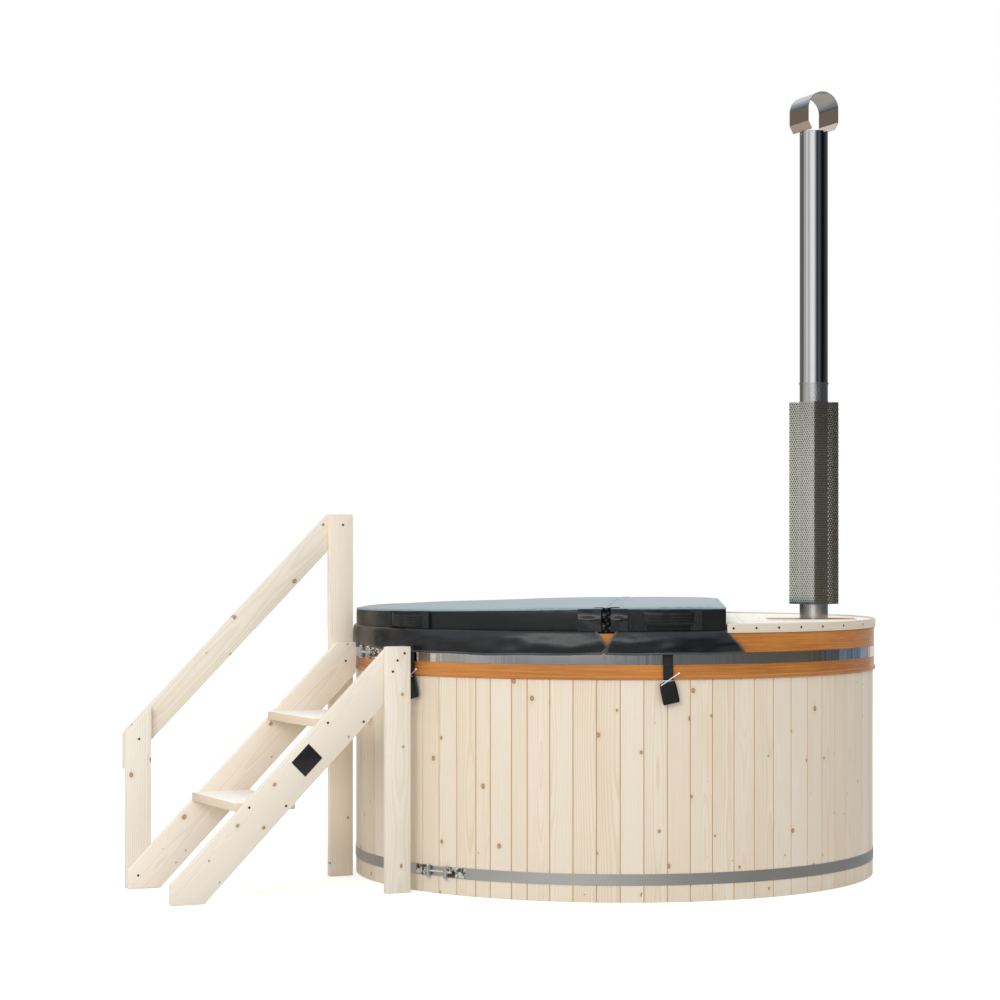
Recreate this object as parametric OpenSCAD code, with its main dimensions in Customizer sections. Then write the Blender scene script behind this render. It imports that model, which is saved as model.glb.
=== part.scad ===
// Round wooden hot tub: a wall of grooved boards round a plastic liner, an
// inside stove under a wooden lid, a folding padded cover and a set of steps.
// Millimetres, +Z up. The origin is the centre of the tub at floor level. The
// stove is towards +X, the cover folds along Y, and the steps stand front left.

/* [Tub wall] */
// Outside diameter of the board wall
tub_d = 2000; // [1800:10:2300]
// Height of the wall boards
stave_h = 935; // [850:5:1050]
// Thickness of the wall boards
stave_t = 28; // [22:1:40]
// Number of full-width wall boards
stave_n = 74; // [66:1:84]
// Width of each of the two closing boards
closing_w = 60; // [50:1:70]
// Depth of the V groove along each board edge
groove = 3; // [1.5:0.5:5]
// Length of the tongue on each board edge
tongue_l = 6; // [4:0.5:9]
// Azimuth of the seam beside the first closing board, in degrees
seam_az = -106.3; // [-120:0.1:-90]

/* [Liner] */
// Wall thickness of the plastic liner
liner_t = 8; // [5:0.5:12]
// Thickness of the foam between liner and boards
foam_t = 60; // [40:1:70]
// Height of the liner's collar, from rim to lower edge
collar_h = 162; // [140:1:200]
// Thickness of the collar outside the boards
collar_t = 4; // [3:0.5:6]
// Height of the bead along the collar's lower edge
bead_h = 18; // [12:1:26]
// How far the bead stands out from the collar
bead_out = 6; // [3:0.5:9]

/* [Steel bands] */
// Width of both steel bands
band_w = 40; // [30:1:50]
// Thickness of both steel bands
band_t = 1.2; // [0.8:0.1:2]
// Height of the lower band's lower edge
low_band_z = 60; // [40:1:120]
// Drop from the rim to the upper band's upper edge
high_band_drop = 69; // [60:1:80]
// Distance between the two trunnions of a clamp
clamp_gap = 84; // [70:1:110]
// Diameter of a clamp's trunnions
trunnion_d = 14; // [12:0.5:18]
// Diameter of a clamp's bolt
clamp_bolt_d = 8; // [6:1:10]
// Azimuth of the lower clamp, in degrees
low_clamp_az = -127.6; // [-135:0.1:-112]
// Azimuth of the upper clamp, in degrees
high_clamp_az = -155.5; // [-157:0.1:-150]

/* [Base and insulation] */
// Height of the base joists
joist_h = 95; // [80:1:120]
// Thickness of the base joists
joist_t = 45; // [35:1:60]
// Number of base joists
joist_n = 5; // [3:2:7]
// Thickness of the floor panel
floor_t = 18; // [12:1:24]
// Thickness of the foam under the liner's floor
floor_foam_t = 39; // [30:1:60]

/* [Bench and partition] */
// Height of the bench above the liner's floor
bench_h = 380; // [300:5:450]
// Thickness of the bench slats and brackets
bench_t = 28; // [20:1:34]
// Width of one bench slat
slat_w = 100; // [80:1:110]
// Gap between two bench slats
slat_gap = 10; // [6:1:14]
// Number of bench slats
slat_n = 3; // [2:1:4]
// Number of brackets under the bench
bracket_n = 7; // [5:1:9]
// Thickness of the partition's boards and rails
part_t = 20; // [16:1:28]
// Width of one partition board
part_w = 95; // [70:1:100]
// Gap between two partition boards
part_gap = 12; // [8:1:20]
// Drop from the rim to the top of the partition
part_drop = 60; // [50:1:100]

/* [Stove] */
// Length of the stove, along X
stove_l = 360; // [330:5:370]
// Width of the stove, along Y
stove_w = 500; // [400:5:540]
// Height of the stove's body
stove_h = 650; // [550:5:655]
// Wall thickness of the stove
stove_t = 4; // [3:0.5:6]
// Height of the stove's feet
stove_foot_h = 40; // [25:1:42]
// Distance from the stove to the liner's wall, at its corners
stove_gap = 14; // [8:1:20]
// Length of the stove's firing hatch, along X
hatch_l = 110; // [90:1:114]
// Width of the stove's firing hatch, along Y
hatch_w = 210; // [160:1:230]

/* [Chimney] */
// Outside diameter of the chimney pipe
pipe_d = 110; // [90:1:114]
// Wall thickness of the chimney pipe
pipe_t = 1.5; // [1:0.1:2]
// Distance from the pipe's axis to the stove's outer face
flue_inset = 78; // [70:1:85]
// Height of the joint between the two pipes
pipe_joint_z = 1881; // [1840:1:2100]
// Height of the chimney pipe's top
pipe_top_z = 2855; // [2500:5:3100]
// Side of the square heat guard
guard_side = 135; // [130:1:150]
// Thickness of the heat guard's sheet
guard_t = 1.5; // [1:0.1:2]
// Height of the heat guard's lower end
guard_z = 1028; // [1015:1:1060]
// Length of the heat guard
guard_h = 781; // [650:1:790]
// Turn of the heat guard about the pipe, in degrees
guard_turn = 44; // [0:1:90]
// Width of the cap's arch, outside
cap_w = 131; // [120:1:150]
// Height of the cap's arch above the pipe
cap_h = 146; // [120:1:160]
// Length of the cap's arch along its tunnel
cap_l = 150; // [120:1:170]
// Turn of the cap about the pipe, in degrees
cap_turn = 26; // [0:1:90]

/* [Drain] */
// Board that the drain goes through, counted from the first seam
drain_stave = 41; // [30:1:50]
// Bore of the drain
drain_bore = 32; // [25:1:38]
// Outside diameter of the drain's pipe
drain_d = 44; // [42:1:50]
// Height of the drain above the liner's floor
drain_up = 36; // [34:1:60]
// Outside diameter of the hose spigot
spigot_d = 40; // [39:1:44]
// Length of the hose spigot
spigot_l = 45; // [30:1:60]
// Diameter of the ball in the valve
ball_d = 46; // [44:1:50]

/* [Steps] */
// Overall width over both stringers
stair_w = 520; // [450:5:600]
// Length of the level end at a stringer's top
stair_head = 75; // [40:1:95]
// Thickness of the boards of the steps
board_t = 28; // [22:1:34]
// Width of a stringer board
stringer_w = 135; // [120:1:145]
// Width of the posts and of the handrail
post_w = 95; // [80:1:110]
// Slope of the stringers and of the handrail, in degrees
slope = 45; // [42:0.5:47]
// Height of the upright cut at a stringer's foot
foot_h = 70; // [50:1:90]
// Height of the steps' platform end
stair_h = 888; // [860:1:900]
// Depth of a tread
tread_l = 230; // [200:1:240]
// Thickness of a tread
tread_t = 32; // [26:1:36]
// Height of the lower tread's top
low_tread_z = 346; // [320:1:360]
// Rise from the lower to the upper tread
tread_rise = 290; // [270:1:300]
// Run from the lower to the upper tread
tread_run = 297; // [280:1:310]
// Distance from a stringer's foot to the lower tread's nose
tread_u = 240; // [225:1:255]
// Height cut level off the handrail's corner at the rear post
rail_cut = 88; // [60:1:110]
// Height of the handrail's upper edge at the low post
rail_foot_z = 567; // [520:1:620]
// Distance from the board wall to the steps
stair_gap = 4; // [4:1:60]
// Azimuth of the steps, seen from the tub's centre, in degrees
stair_az = -148.2; // [-152:0.1:-146]
// Direction of the steps' climb, in degrees
stair_turn = 29.4; // [26:0.1:34]
// Width of the plate on the front stringer, across the board
plate_w = 74; // [50:1:90]
// Length of the plate on the front stringer, along the board
plate_l = 92; // [60:1:120]
// Thickness of the plate on the front stringer
plate_t = 2; // [1:0.5:3]

/* [Stove lid] */
// Depth of the lid over the stove, from the wall's outside
lid_depth = 576; // [560:1:590]
// Thickness of the lid's boards
lid_board_t = 28; // [22:1:30]
// Pitch of the lid's boards
lid_pitch = 82; // [70:1:95]
// Height of the lid's rim strip
lid_rim_h = 33; // [31:1:40]
// Thickness of the lid's rim strip
lid_rim_t = 9; // [6:1:12]
// How far the lid stands out from the board wall
lid_over = 10; // [8:1:16]
// Length of the opening round the chimney, along X
mouth_l = 341; // [335:1:350]
// Width of the opening round the chimney, along Y
mouth_w = 250; // [240:1:270]
// Offset of the opening's centre from the chimney, towards the tub
mouth_shift = 11.5; // [9:0.5:14]
// Width of the battens under the lid
batten_w = 60; // [40:1:70]
// Thickness of the battens under the lid
batten_t = 20; // [15:1:24]

/* [Cover] */
// Thickness of the padded cover at its fold
cover_t = 91; // [80:1:110]
// Thickness of the padded cover at the edge away from the stove
cover_edge_t = 71; // [60:1:80]
// How far the cover stays inside the board wall's outside
cover_in = 2; // [2:0.5:6]
// Gap between the cover's two halves
fold_gap = 30; // [20:1:40]
// Gap between the cover and the stove's lid
cover_lid_gap = 4; // [2:0.5:6]
// Width of the hinge strip on each side of the fold
hinge_strip_w = 45; // [30:1:60]
// Thickness of the cover's skirt, straps and strips
vinyl_t = 1.5; // [1:0.1:2]
// Height of the skirt below the liner's rim
skirt_h = 65; // [55:1:68]
// Length of a carrying handle between its patches
handle_l = 150; // [110:1:170]
// Width of a carrying handle's webbing
handle_w = 44; // [30:1:50]
// Azimuth of the right half's handle, in degrees
right_handle_az = -76.8; // [-80:0.1:-74]
// Azimuth of the left half's handle, in degrees
left_handle_az = -139; // [-145:0.1:-135]
// Azimuth of the right half's straps, either side of the tub, in degrees
right_strap_az = 77.6; // [74:0.1:84]
// Azimuth of the left half's straps, either side of the tub, in degrees
left_strap_az = 134.6; // [120:0.1:136]
// Width of a strap
strap_w = 35; // [25:1:40]
// Width of the pouch on a strap
pouch_w = 64; // [50:1:75]
// Height of the pouch on a strap
pouch_h = 80; // [60:1:95]
// Thickness of the pouch on a strap
pouch_t = 12; // [8:1:16]
// Drop from the rim to a pouch's top
pouch_drop = 167; // [165:1:185]

/* [Hidden] */
// Clearance between pieces that rest against each other or slide
gap = 0.3;
// Clearance in the grooves of the wall boards
tongue_play = 0.6;
// A length longer than any cut
far = 3000;
$fn = 180;

tub_r = tub_d / 2;
closing_a = closing_w / (PI * tub_d) * 360;
stave_a = (360 - 2 * closing_a) / stave_n;
stave_crown_r = norm([tub_r, tub_r * tan(stave_a / 2) - groove]);
stave_in_r = tub_r - stave_t;
liner_in_r = stave_in_r - foam_t - liner_t;
floor_z = joist_h + floor_t + floor_foam_t + liner_t;
rim_z = stave_h + liner_t;
collar_in_r = stave_crown_r + gap;
collar_r = collar_in_r + collar_t;
bead_r = collar_r + bead_out;
bead_z = rim_z - collar_h;
high_band_z = rim_z - high_band_drop - band_w;
low_band_r = stave_crown_r + gap;
high_band_r = collar_r + gap;
trunnion_r = trunnion_d / 2;
loop_r = trunnion_r + gap + band_t;
clamp_nut_af = clamp_bolt_d * 1.625;
clamp_nut_h = clamp_bolt_d * 0.8;

cover_r = tub_r - cover_in;
cover_edge_x = tub_r - lid_depth - cover_lid_gap;
lid_x = tub_r - lid_depth;
lid_r = tub_r + lid_over;
lid_board_r = lid_r - lid_rim_t - gap;
lid_z = rim_z + gap;

bench_out_r = liner_in_r - gap;
bench_in_r = bench_out_r - slat_n * slat_w - (slat_n - 1) * slat_gap;
bench_z = floor_z + bench_h - bench_t;
part_set = 12;
part_x = cover_edge_x - part_t - part_set;
rail_half = sqrt(pow(liner_in_r - gap, 2) - pow(part_x + 2 * part_t, 2));
part_half = sqrt(pow(liner_in_r - gap, 2) - pow(part_x + part_t, 2));
part_pitch = part_w + part_gap;
part_n = 2 * floor((part_half - part_w / 2) / part_pitch) + 1;
rail_w = 70;
rail_up = 90;
rail_down = 110;

stove_out_x = sqrt(pow(liner_in_r - stove_gap, 2) - pow(stove_w / 2, 2));
stove_in_x = stove_out_x - stove_l;
stove_z = floor_z + stove_foot_h;
stove_top_z = stove_z + stove_h;
flue_x = stove_out_x - flue_inset;
mouth_x = flue_x - mouth_shift;
hatch_set = 5;
hatch_x = mouth_x - mouth_l / 2 + hatch_set + hatch_l / 2;
stove_foot_d = 40;
stove_foot_sink = 1;
stove_foot_in = 30;
hatch_lip = 8;
hatch_handle_h = 26;

pipe_r = pipe_d / 2;
spigot_step = pipe_t + gap;
bead_ring_h = 6;
bead_ring_out = 2.5;
slip_l = 50;
collar_ring_w = 7;
collar_ring_h = 50;
standoff_d = 8;
standoff_in = 52;
cap_t = 1.5;
cap_foot_h = 30;
cap_foot_in = 5.5;
cap_foot_x = pipe_r - pipe_t - cap_foot_in;
cap_tab_l = 26;
cap_tab_w = 24;
rivet_d = 5;

drain_az = seam_az + (drain_stave + 0.5) * stave_a;
drain_z = floor_z + drain_up;
drain_flange_t = 5;
drain_flange_w = 9;
drain_flange_r = drain_d / 2 + drain_flange_w;
drain_face_x = sqrt(pow(liner_in_r, 2) - pow(drain_flange_r, 2)) - gap;
drain_nut_t = 12;
drain_nut_w = 8;
drain_tail_l = 45;
valve_x = tub_r + drain_nut_t + drain_tail_l;
valve_d = 64;
valve_l = 70;
stem_d = 10;
stem_top = valve_d / 2 + 16;
boss_wall = 6;
lever_l = 110;
lever_w = 20;
lever_t = 4;
spigot_x = valve_x + valve_l / 2;

stair_run = (stair_h - foot_h) / tan(slope) + stair_head;
stringer_drop = stringer_w / cos(slope);
rail_drop = post_w / cos(slope);
rail_top_z = rail_foot_z + stair_run * tan(slope) - rail_cut;
post_screws = [[0, 0], [-28, -25], [-46, -65]];
rear_screw_in = 18;
rear_screw_down = 47;
rail_screw_down = 40;
rail_foot_screw_down = 22;
low_screw_in = 12;
low_screw_down = 21;
screw_head_d = 9;
screw_head_h = 3;
screw_d = 5;
screw_l = 50;
screw_proud = 0.4;

cover_z = rim_z + gap;
cover_top_z = cover_z + cover_t;
skirt_r = high_band_r + band_t + gap;
skirt_low_z = rim_z - skirt_h;
skirt_knee_z = rim_z - 2;
skirt_sew_z = rim_z + 19;
skirt_end_a = 0.2;
skirt_chord_az = acos(cover_edge_x / skirt_r);
strap_in_r = bead_r + gap;
pouch_z = rim_z - pouch_drop - pouch_h;
patch_w = 48;
tie_w = 3;
tie_t = 1.5;
tie_head = 6;
tie_l = 76;
tie_tilt = 34;

spruce = [0.87, 0.80, 0.70];
liner_brown = [0.76, 0.49, 0.24];
steel = [0.70, 0.71, 0.70];
vinyl = [0.17, 0.18, 0.19];

// Turns its children to an azimuth, with their own x axis pointing outwards.
module at_az(az, r = 0, z = 0) {
    rotate([0, 0, az]) translate([r, 0, z]) children();
}

// A bar of a ring between two azimuths, standing on z = 0.
module arc_bar(r_in, r_out, h, from_az, to_az) {
    rotate([0, 0, from_az])
        rotate_extrude(angle = to_az - from_az)
            translate([r_in, 0]) square([r_out - r_in, h]);
}

// A straight pipe standing on z = 0.
module pipe(r_out, r_in, h) {
    difference() {
        cylinder(r = r_out, h = h);
        translate([0, 0, -1]) cylinder(r = r_in, h = h + 2);
    }
}

// Where a board's side lies at the distance x along its own middle line.
function side_y(x, a) = x * tan(a) - gap / 2 / cos(a);

// A point at the distance r along the seam of azimuth a, and y beyond it.
function on_seam(r, y, a) = [r * cos(a) - y * sin(a), r * sin(a) + y * cos(a)];

// One wall board, pointing along +X: a wedge with tongue, slot and V grooves.
module wall_board(a, h) {
    mid_r = tub_r - stave_t / 2;
    tongue_t = stave_t / 4;
    slot_t = tongue_t + 2 * tongue_play;
    slot_l = tongue_l + tongue_play;
    linear_extrude(h) polygon([
        [stave_in_r, -side_y(stave_in_r, a)],
        on_seam(mid_r - slot_t / 2, gap / 2, -a),
        on_seam(mid_r - slot_t / 2, slot_l, -a),
        on_seam(mid_r + slot_t / 2, slot_l, -a),
        on_seam(mid_r + slot_t / 2, gap / 2, -a),
        [tub_r - groove, -side_y(tub_r - groove, a)],
        [tub_r, groove - side_y(tub_r, a)],
        [tub_r, side_y(tub_r, a) - groove],
        [tub_r - groove, side_y(tub_r - groove, a)],
        on_seam(mid_r + tongue_t / 2, -gap / 2, a),
        on_seam(mid_r + tongue_t / 2, tongue_l, a),
        on_seam(mid_r - tongue_t / 2, tongue_l, a),
        on_seam(mid_r - tongue_t / 2, -gap / 2, a),
        [stave_in_r, side_y(stave_in_r, a)]
    ]);
}

// The round hole for the drain, along +X through the wall.
module drain_hole(d) {
    translate([liner_in_r - drain_d, 0, drain_z])
        rotate([0, 90, 0]) cylinder(d = d, h = tub_r - liner_in_r + 2 * drain_d);
}

// Azimuth of the middle of a full-width board.
function stave_az(i) =
    i < stave_n - 1
        ? seam_az + (i + 0.5) * stave_a
        : seam_az - closing_a - stave_a / 2;

module wall_staves() {
    color(spruce)
        for (i = [0:stave_n - 1])
            if (i != drain_stave)
                rotate([0, 0, stave_az(i)]) wall_board(stave_a / 2, stave_h);
}

module drain_board() {
    color(spruce)
        rotate([0, 0, stave_az(drain_stave)])
            difference() {
                wall_board(stave_a / 2, stave_h);
                drain_hole(drain_d + 2 * gap);
            }
}

module closing_staves() {
    color(spruce)
        for (az = [seam_az - closing_a / 2, seam_az - stave_a - closing_a * 1.5])
            rotate([0, 0, az]) wall_board(closing_a / 2, stave_h);
}

module base_joists() {
    pitch = 2 * stave_in_r / joist_n;
    color(spruce)
        for (i = [0:joist_n - 1]) {
            y = (i - (joist_n - 1) / 2) * pitch;
            half = sqrt(pow(stave_in_r - gap, 2) - pow(abs(y) + joist_t / 2, 2));
            translate([-half, y - joist_t / 2, 0]) cube([2 * half, joist_t, joist_h]);
        }
}

module floor_panel() {
    color("burlywood")
        translate([0, 0, joist_h]) cylinder(r = stave_in_r - gap, h = floor_t);
}

module floor_foam() {
    color("wheat")
        translate([0, 0, joist_h + floor_t])
            cylinder(r = liner_in_r + liner_t, h = floor_foam_t);
}

module wall_foam() {
    low_z = joist_h + floor_t;
    color("wheat")
        difference() {
            translate([0, 0, low_z])
                pipe(stave_in_r - gap, liner_in_r + liner_t + gap, stave_h - gap - low_z);
            rotate([0, 0, drain_az]) drain_hole(drain_d + 2 * gap);
        }
}

// Pot, rim and collar are one moulding: half of its section, turned.
module tub_liner() {
    chamfer = 3;
    color(liner_brown)
        difference() {
            rotate_extrude() {
                polygon([
                    [0, floor_z - liner_t],
                    [liner_in_r + liner_t, floor_z - liner_t],
                    [liner_in_r + liner_t, stave_h + gap],
                    [collar_in_r, stave_h + gap],
                    [collar_in_r, bead_z],
                    [collar_r, bead_z],
                    [collar_r, rim_z - chamfer],
                    [collar_r - chamfer, rim_z],
                    [liner_in_r, rim_z],
                    [liner_in_r, floor_z],
                    [0, floor_z]
                ]);
                intersection() {
                    translate([bead_r - bead_h / 2, bead_z + bead_h / 2])
                        circle(d = bead_h);
                    translate([collar_r - 1, bead_z]) square([bead_h, bead_h]);
                }
            }
            rotate([0, 0, drain_az]) drain_hole(drain_d + 2 * gap);
        }
}

// Distance of a clamp's trunnions from the band's centre, along the clamp.
function clamp_x(band_r) =
    sqrt(pow(band_r + band_t, 2) - pow(clamp_gap / 2, 2)) + loop_r - band_t / 2;

// A clamp's frame: x outwards, y along the band, z at the band's lower edge.
module clamp_frame(band_r, az, z) {
    at_az(az, clamp_x(band_r), z) children();
}

// An open steel strip whose two ends are rolled into loops.
module steel_band(band_r, az, z) {
    color(steel)
        difference() {
            at_az(az, 0, z)
                linear_extrude(band_w) {
                    difference() {
                        circle(r = band_r + band_t);
                        circle(r = band_r);
                        translate([band_r - clamp_gap / 2, -clamp_gap / 2]) square(clamp_gap);
                    }
                    for (side = [-1, 1])
                        translate([clamp_x(band_r), side * clamp_gap / 2])
                            difference() {
                                circle(r = loop_r);
                                circle(r = trunnion_r + gap);
                            }
                }
            clamp_frame(band_r, az, z + band_w / 2)
                rotate([90, 0, 0])
                    cylinder(d = clamp_bolt_d + 3, h = clamp_gap + 4 * loop_r, center = true);
        }
}

module lower_band() { steel_band(low_band_r, low_clamp_az, low_band_z); }

module upper_band() { steel_band(high_band_r, high_clamp_az, high_band_z); }

module both_clamps() {
    clamp_frame(low_band_r, low_clamp_az, low_band_z) children();
    clamp_frame(high_band_r, high_clamp_az, high_band_z) children();
}

module clamp_trunnions() {
    overhang = 3;
    color("silver")
        both_clamps()
            for (side = [-1, 1])
                translate([0, side * clamp_gap / 2, 0])
                    difference() {
                        translate([0, 0, -overhang])
                            cylinder(d = trunnion_d, h = band_w + 2 * overhang);
                        translate([0, 0, band_w / 2])
                            rotate([90, 0, 0])
                                cylinder(d = clamp_bolt_d + 2 * gap, h = 2 * loop_r,
                                         center = true);
                    }
}

module clamp_bolts() {
    tail = 22;
    color("silver")
        both_clamps()
            translate([0, -clamp_gap / 2 - loop_r - gap, band_w / 2])
                rotate([-90, 0, 0]) {
                    cylinder(d = clamp_bolt_d, h = clamp_gap + 2 * loop_r + tail);
                    translate([0, 0, -clamp_nut_h])
                        cylinder(d = clamp_nut_af / cos(30), h = clamp_nut_h, $fn = 6);
                }
}

module clamp_nuts() {
    color("silver")
        both_clamps()
            translate([0, clamp_gap / 2 + loop_r + gap, band_w / 2])
                rotate([-90, 0, 0])
                    difference() {
                        cylinder(d = clamp_nut_af / cos(30), h = clamp_nut_h, $fn = 6);
                        translate([0, 0, -1])
                            cylinder(d = clamp_bolt_d + 0.1, h = clamp_nut_h + 2);
                    }
}

module bench_slats() {
    color(spruce)
        difference() {
            for (i = [0:slat_n - 1])
                translate([0, 0, bench_z])
                    pipe(bench_out_r - i * (slat_w + slat_gap),
                         bench_out_r - i * (slat_w + slat_gap) - slat_w, bench_t);
            translate([part_x - gap, -far / 2, 0]) cube([far, far, far]);
        }
}

module bench_brackets() {
    first_az = 78;
    step = (360 - 2 * first_az) / (bracket_n - 1);
    end_r = norm([bench_out_r, bench_t / 2]) - bench_out_r;
    color(spruce)
        for (i = [0:bracket_n - 1])
            at_az(first_az + i * step, bench_in_r + 10, floor_z)
                translate([0, -bench_t / 2, 0])
                    cube([bench_out_r - end_r - bench_in_r - 10, bench_t, bench_h - bench_t]);
}

module partition_boards() {
    color(spruce)
        for (i = [0:part_n - 1])
            translate([part_x, (i - (part_n - 1) / 2) * part_pitch - part_w / 2, floor_z])
                cube([part_t, part_w, rim_z - part_drop - floor_z]);
}

module partition_rails() {
    color(spruce)
        for (z = [floor_z + rail_up, rim_z - part_drop - rail_down])
            translate([part_x + part_t, -rail_half, z])
                cube([part_t, 2 * rail_half, rail_w]);
}

module stove_body() {
    color("lightslategray")
        difference() {
            union() {
                translate([stove_in_x, -stove_w / 2, stove_z])
                    cube([stove_l, stove_w, stove_h]);
                for (x = [stove_in_x + stove_foot_in, stove_out_x - stove_foot_in], side = [-1, 1])
                    translate([x, side * (stove_w / 2 - stove_foot_in), floor_z])
                        cylinder(d = stove_foot_d, h = stove_foot_h + stove_foot_sink);
            }
            translate([stove_in_x + stove_t, stove_t - stove_w / 2, stove_z + stove_t])
                cube([stove_l - 2 * stove_t, stove_w - 2 * stove_t, stove_h - 2 * stove_t]);
            translate([hatch_x - hatch_l / 2 + hatch_lip, hatch_lip - hatch_w / 2,
                       stove_top_z - 2 * stove_t])
                cube([hatch_l - 2 * hatch_lip, hatch_w - 2 * hatch_lip, 4 * stove_t]);
            translate([flue_x, 0, stove_top_z - 2 * stove_t])
                cylinder(r = pipe_r - pipe_t, h = 4 * stove_t);
        }
}

module stove_hatch() {
    plug_in = hatch_lip + gap;
    color("slategray") {
        translate([hatch_x - hatch_l / 2, -hatch_w / 2, stove_top_z + gap])
            cube([hatch_l, hatch_w, stove_t]);
        translate([hatch_x - hatch_l / 2 + plug_in, plug_in - hatch_w / 2,
                   stove_top_z + gap - stove_t])
            cube([hatch_l - 2 * plug_in, hatch_w - 2 * plug_in, stove_t + 1]);
    }
}

module hatch_handle() {
    bar = 10;
    span = 100;
    base_z = stove_top_z + gap + stove_t;
    color("dimgray")
        difference() {
            translate([hatch_x - bar / 2, -span / 2, base_z])
                cube([bar, span, hatch_handle_h]);
            translate([hatch_x - bar, bar - span / 2, base_z - 1])
                cube([2 * bar, span - 2 * bar, hatch_handle_h - bar + 1]);
        }
}

module flue_collar() {
    color("slategray")
        translate([flue_x, 0, stove_top_z])
            pipe(pipe_r + gap + collar_ring_w, pipe_r + gap, collar_ring_h);
}

module chimney_lower() {
    ring_z = pipe_joint_z - bead_ring_h / 2;
    color(steel)
        translate([flue_x, 0, 0]) {
            translate([0, 0, stove_top_z])
                pipe(pipe_r, pipe_r - pipe_t, ring_z - stove_top_z);
            translate([0, 0, ring_z])
                pipe(pipe_r + bead_ring_out, pipe_r - spigot_step - pipe_t, bead_ring_h);
            translate([0, 0, ring_z + bead_ring_h])
                pipe(pipe_r - spigot_step, pipe_r - spigot_step - pipe_t, slip_l);
        }
}

module chimney_upper() {
    low_z = pipe_joint_z + bead_ring_h / 2;
    color(steel)
        translate([flue_x, 0, low_z]) pipe(pipe_r, pipe_r - pipe_t, pipe_top_z - low_z);
}

// The cap's frame: x across the arch, y along its tunnel, z from the pipe's top.
module cap_frame() {
    translate([flue_x, 0, pipe_top_z]) rotate([0, 0, cap_turn]) children();
}

// A strip bent into an arch, whose feet turn in and stand on the pipe's rim.
// A tab on each foot goes down inside the pipe.
module chimney_cap() {
    arch_r = cap_w / 2;
    arch_z = cap_h - arch_r;
    color(steel)
        cap_frame() {
            translate([0, cap_l / 2, 0])
                rotate([90, 0, 0])
                    linear_extrude(cap_l) {
                        difference() {
                            translate([0, arch_z]) circle(r = arch_r);
                            translate([0, arch_z]) circle(r = arch_r - cap_t);
                            translate([-cap_w, arch_z - 2 * cap_w]) square(2 * cap_w);
                        }
                        for (side = [0, 1])
                            mirror([side, 0])
                                polygon([
                                    [cap_foot_x, gap],
                                    [cap_foot_x + cap_t, gap],
                                    [arch_r, cap_foot_h],
                                    [arch_r, arch_z],
                                    [arch_r - cap_t, arch_z],
                                    [arch_r - cap_t, cap_foot_h]
                                ]);
                    }
            for (side = [-1, 1])
                translate([side * (cap_foot_x + cap_t / 2) - cap_t / 2, -cap_tab_w / 2,
                           -cap_tab_l])
                    cube([cap_t, cap_tab_w, cap_tab_l + gap + 1]);
        }
}

module cap_rivets() {
    color("silver")
        cap_frame()
            for (side = [-1, 1])
                translate([0, 0, -cap_tab_l / 2])
                    rotate([0, side * 90, 0])
                        translate([0, 0, cap_foot_x])
                            cylinder(d = rivet_d, h = pipe_r + 1.5 - cap_foot_x);
}

module guard_frame() {
    translate([flue_x, 0, guard_z]) rotate([0, 0, guard_turn]) children();
}

module heat_guard() {
    inner = guard_side - 2 * guard_t;
    color("silver")
        guard_frame()
            difference() {
                translate([-guard_side / 2, -guard_side / 2, 0])
                    cube([guard_side, guard_side, guard_h]);
                translate([-inner / 2, -inner / 2, -1]) cube([inner, inner, guard_h + 2]);
            }
}

module guard_standoffs() {
    color("gray")
        guard_frame()
            for (z = [standoff_in, guard_h - standoff_in], side = [0:3])
                rotate([0, 0, 90 * side])
                    difference() {
                        translate([0, 0, z])
                            rotate([0, 90, 0])
                                cylinder(d = standoff_d, h = guard_side / 2 - guard_t);
                        translate([0, 0, z - standoff_d])
                            cylinder(r = pipe_r, h = 2 * standoff_d);
                    }
}

// The drain's frame: x outwards along the pipe, origin on the tub's axis.
module drain_frame() {
    rotate([0, 0, drain_az]) translate([0, 0, drain_z]) rotate([0, 90, 0]) children();
}

module drain_fitting() {
    color("silver")
        drain_frame()
            difference() {
                union() {
                    translate([0, 0, drain_face_x - drain_flange_t])
                        cylinder(r = drain_flange_r, h = drain_flange_t);
                    translate([0, 0, drain_face_x - 1])
                        cylinder(d = drain_d, h = valve_x - valve_l / 2 - drain_face_x + 1);
                }
                translate([0, 0, liner_in_r - drain_d])
                    cylinder(d = drain_bore, h = valve_x - liner_in_r + drain_d);
            }
}

module drain_locknut() {
    color("silver")
        drain_frame()
            translate([0, 0, stave_crown_r + gap])
                difference() {
                    cylinder(r = drain_d / 2 + drain_nut_w, h = drain_nut_t, $fn = 6);
                    translate([0, 0, -1]) cylinder(d = drain_d + 0.2, h = drain_nut_t + 2);
                }
}

module drain_strainer() {
    hole_d = 5;
    ring_n = 6;
    ring_r = 10;
    disc_t = 2;
    color("silver")
        drain_frame()
            translate([0, 0, drain_face_x - drain_flange_t - gap - disc_t])
                difference() {
                    cylinder(r = drain_d / 2 + 4, h = disc_t);
                    translate([0, 0, -1]) {
                        cylinder(d = hole_d, h = disc_t + 2);
                        for (i = [0:ring_n - 1])
                            rotate([0, 0, i * 360 / ring_n])
                                translate([ring_r, 0, 0])
                                    cylinder(d = hole_d, h = disc_t + 2);
                    }
                }
}

module drain_valve() {
    color("silver")
        drain_frame()
            translate([0, 0, valve_x])
                difference() {
                    union() {
                        translate([0, 0, -valve_l / 2]) cylinder(d = valve_d, h = valve_l);
                        rotate([0, -90, 0]) cylinder(d = stem_d + 2 * boss_wall, h = stem_top - 2);
                    }
                    sphere(d = ball_d + 2 * gap);
                    translate([0, 0, -valve_l]) cylinder(d = drain_bore, h = 2 * valve_l);
                    rotate([0, -90, 0]) cylinder(d = stem_d + 0.1, h = valve_d);
                }
}

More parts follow.
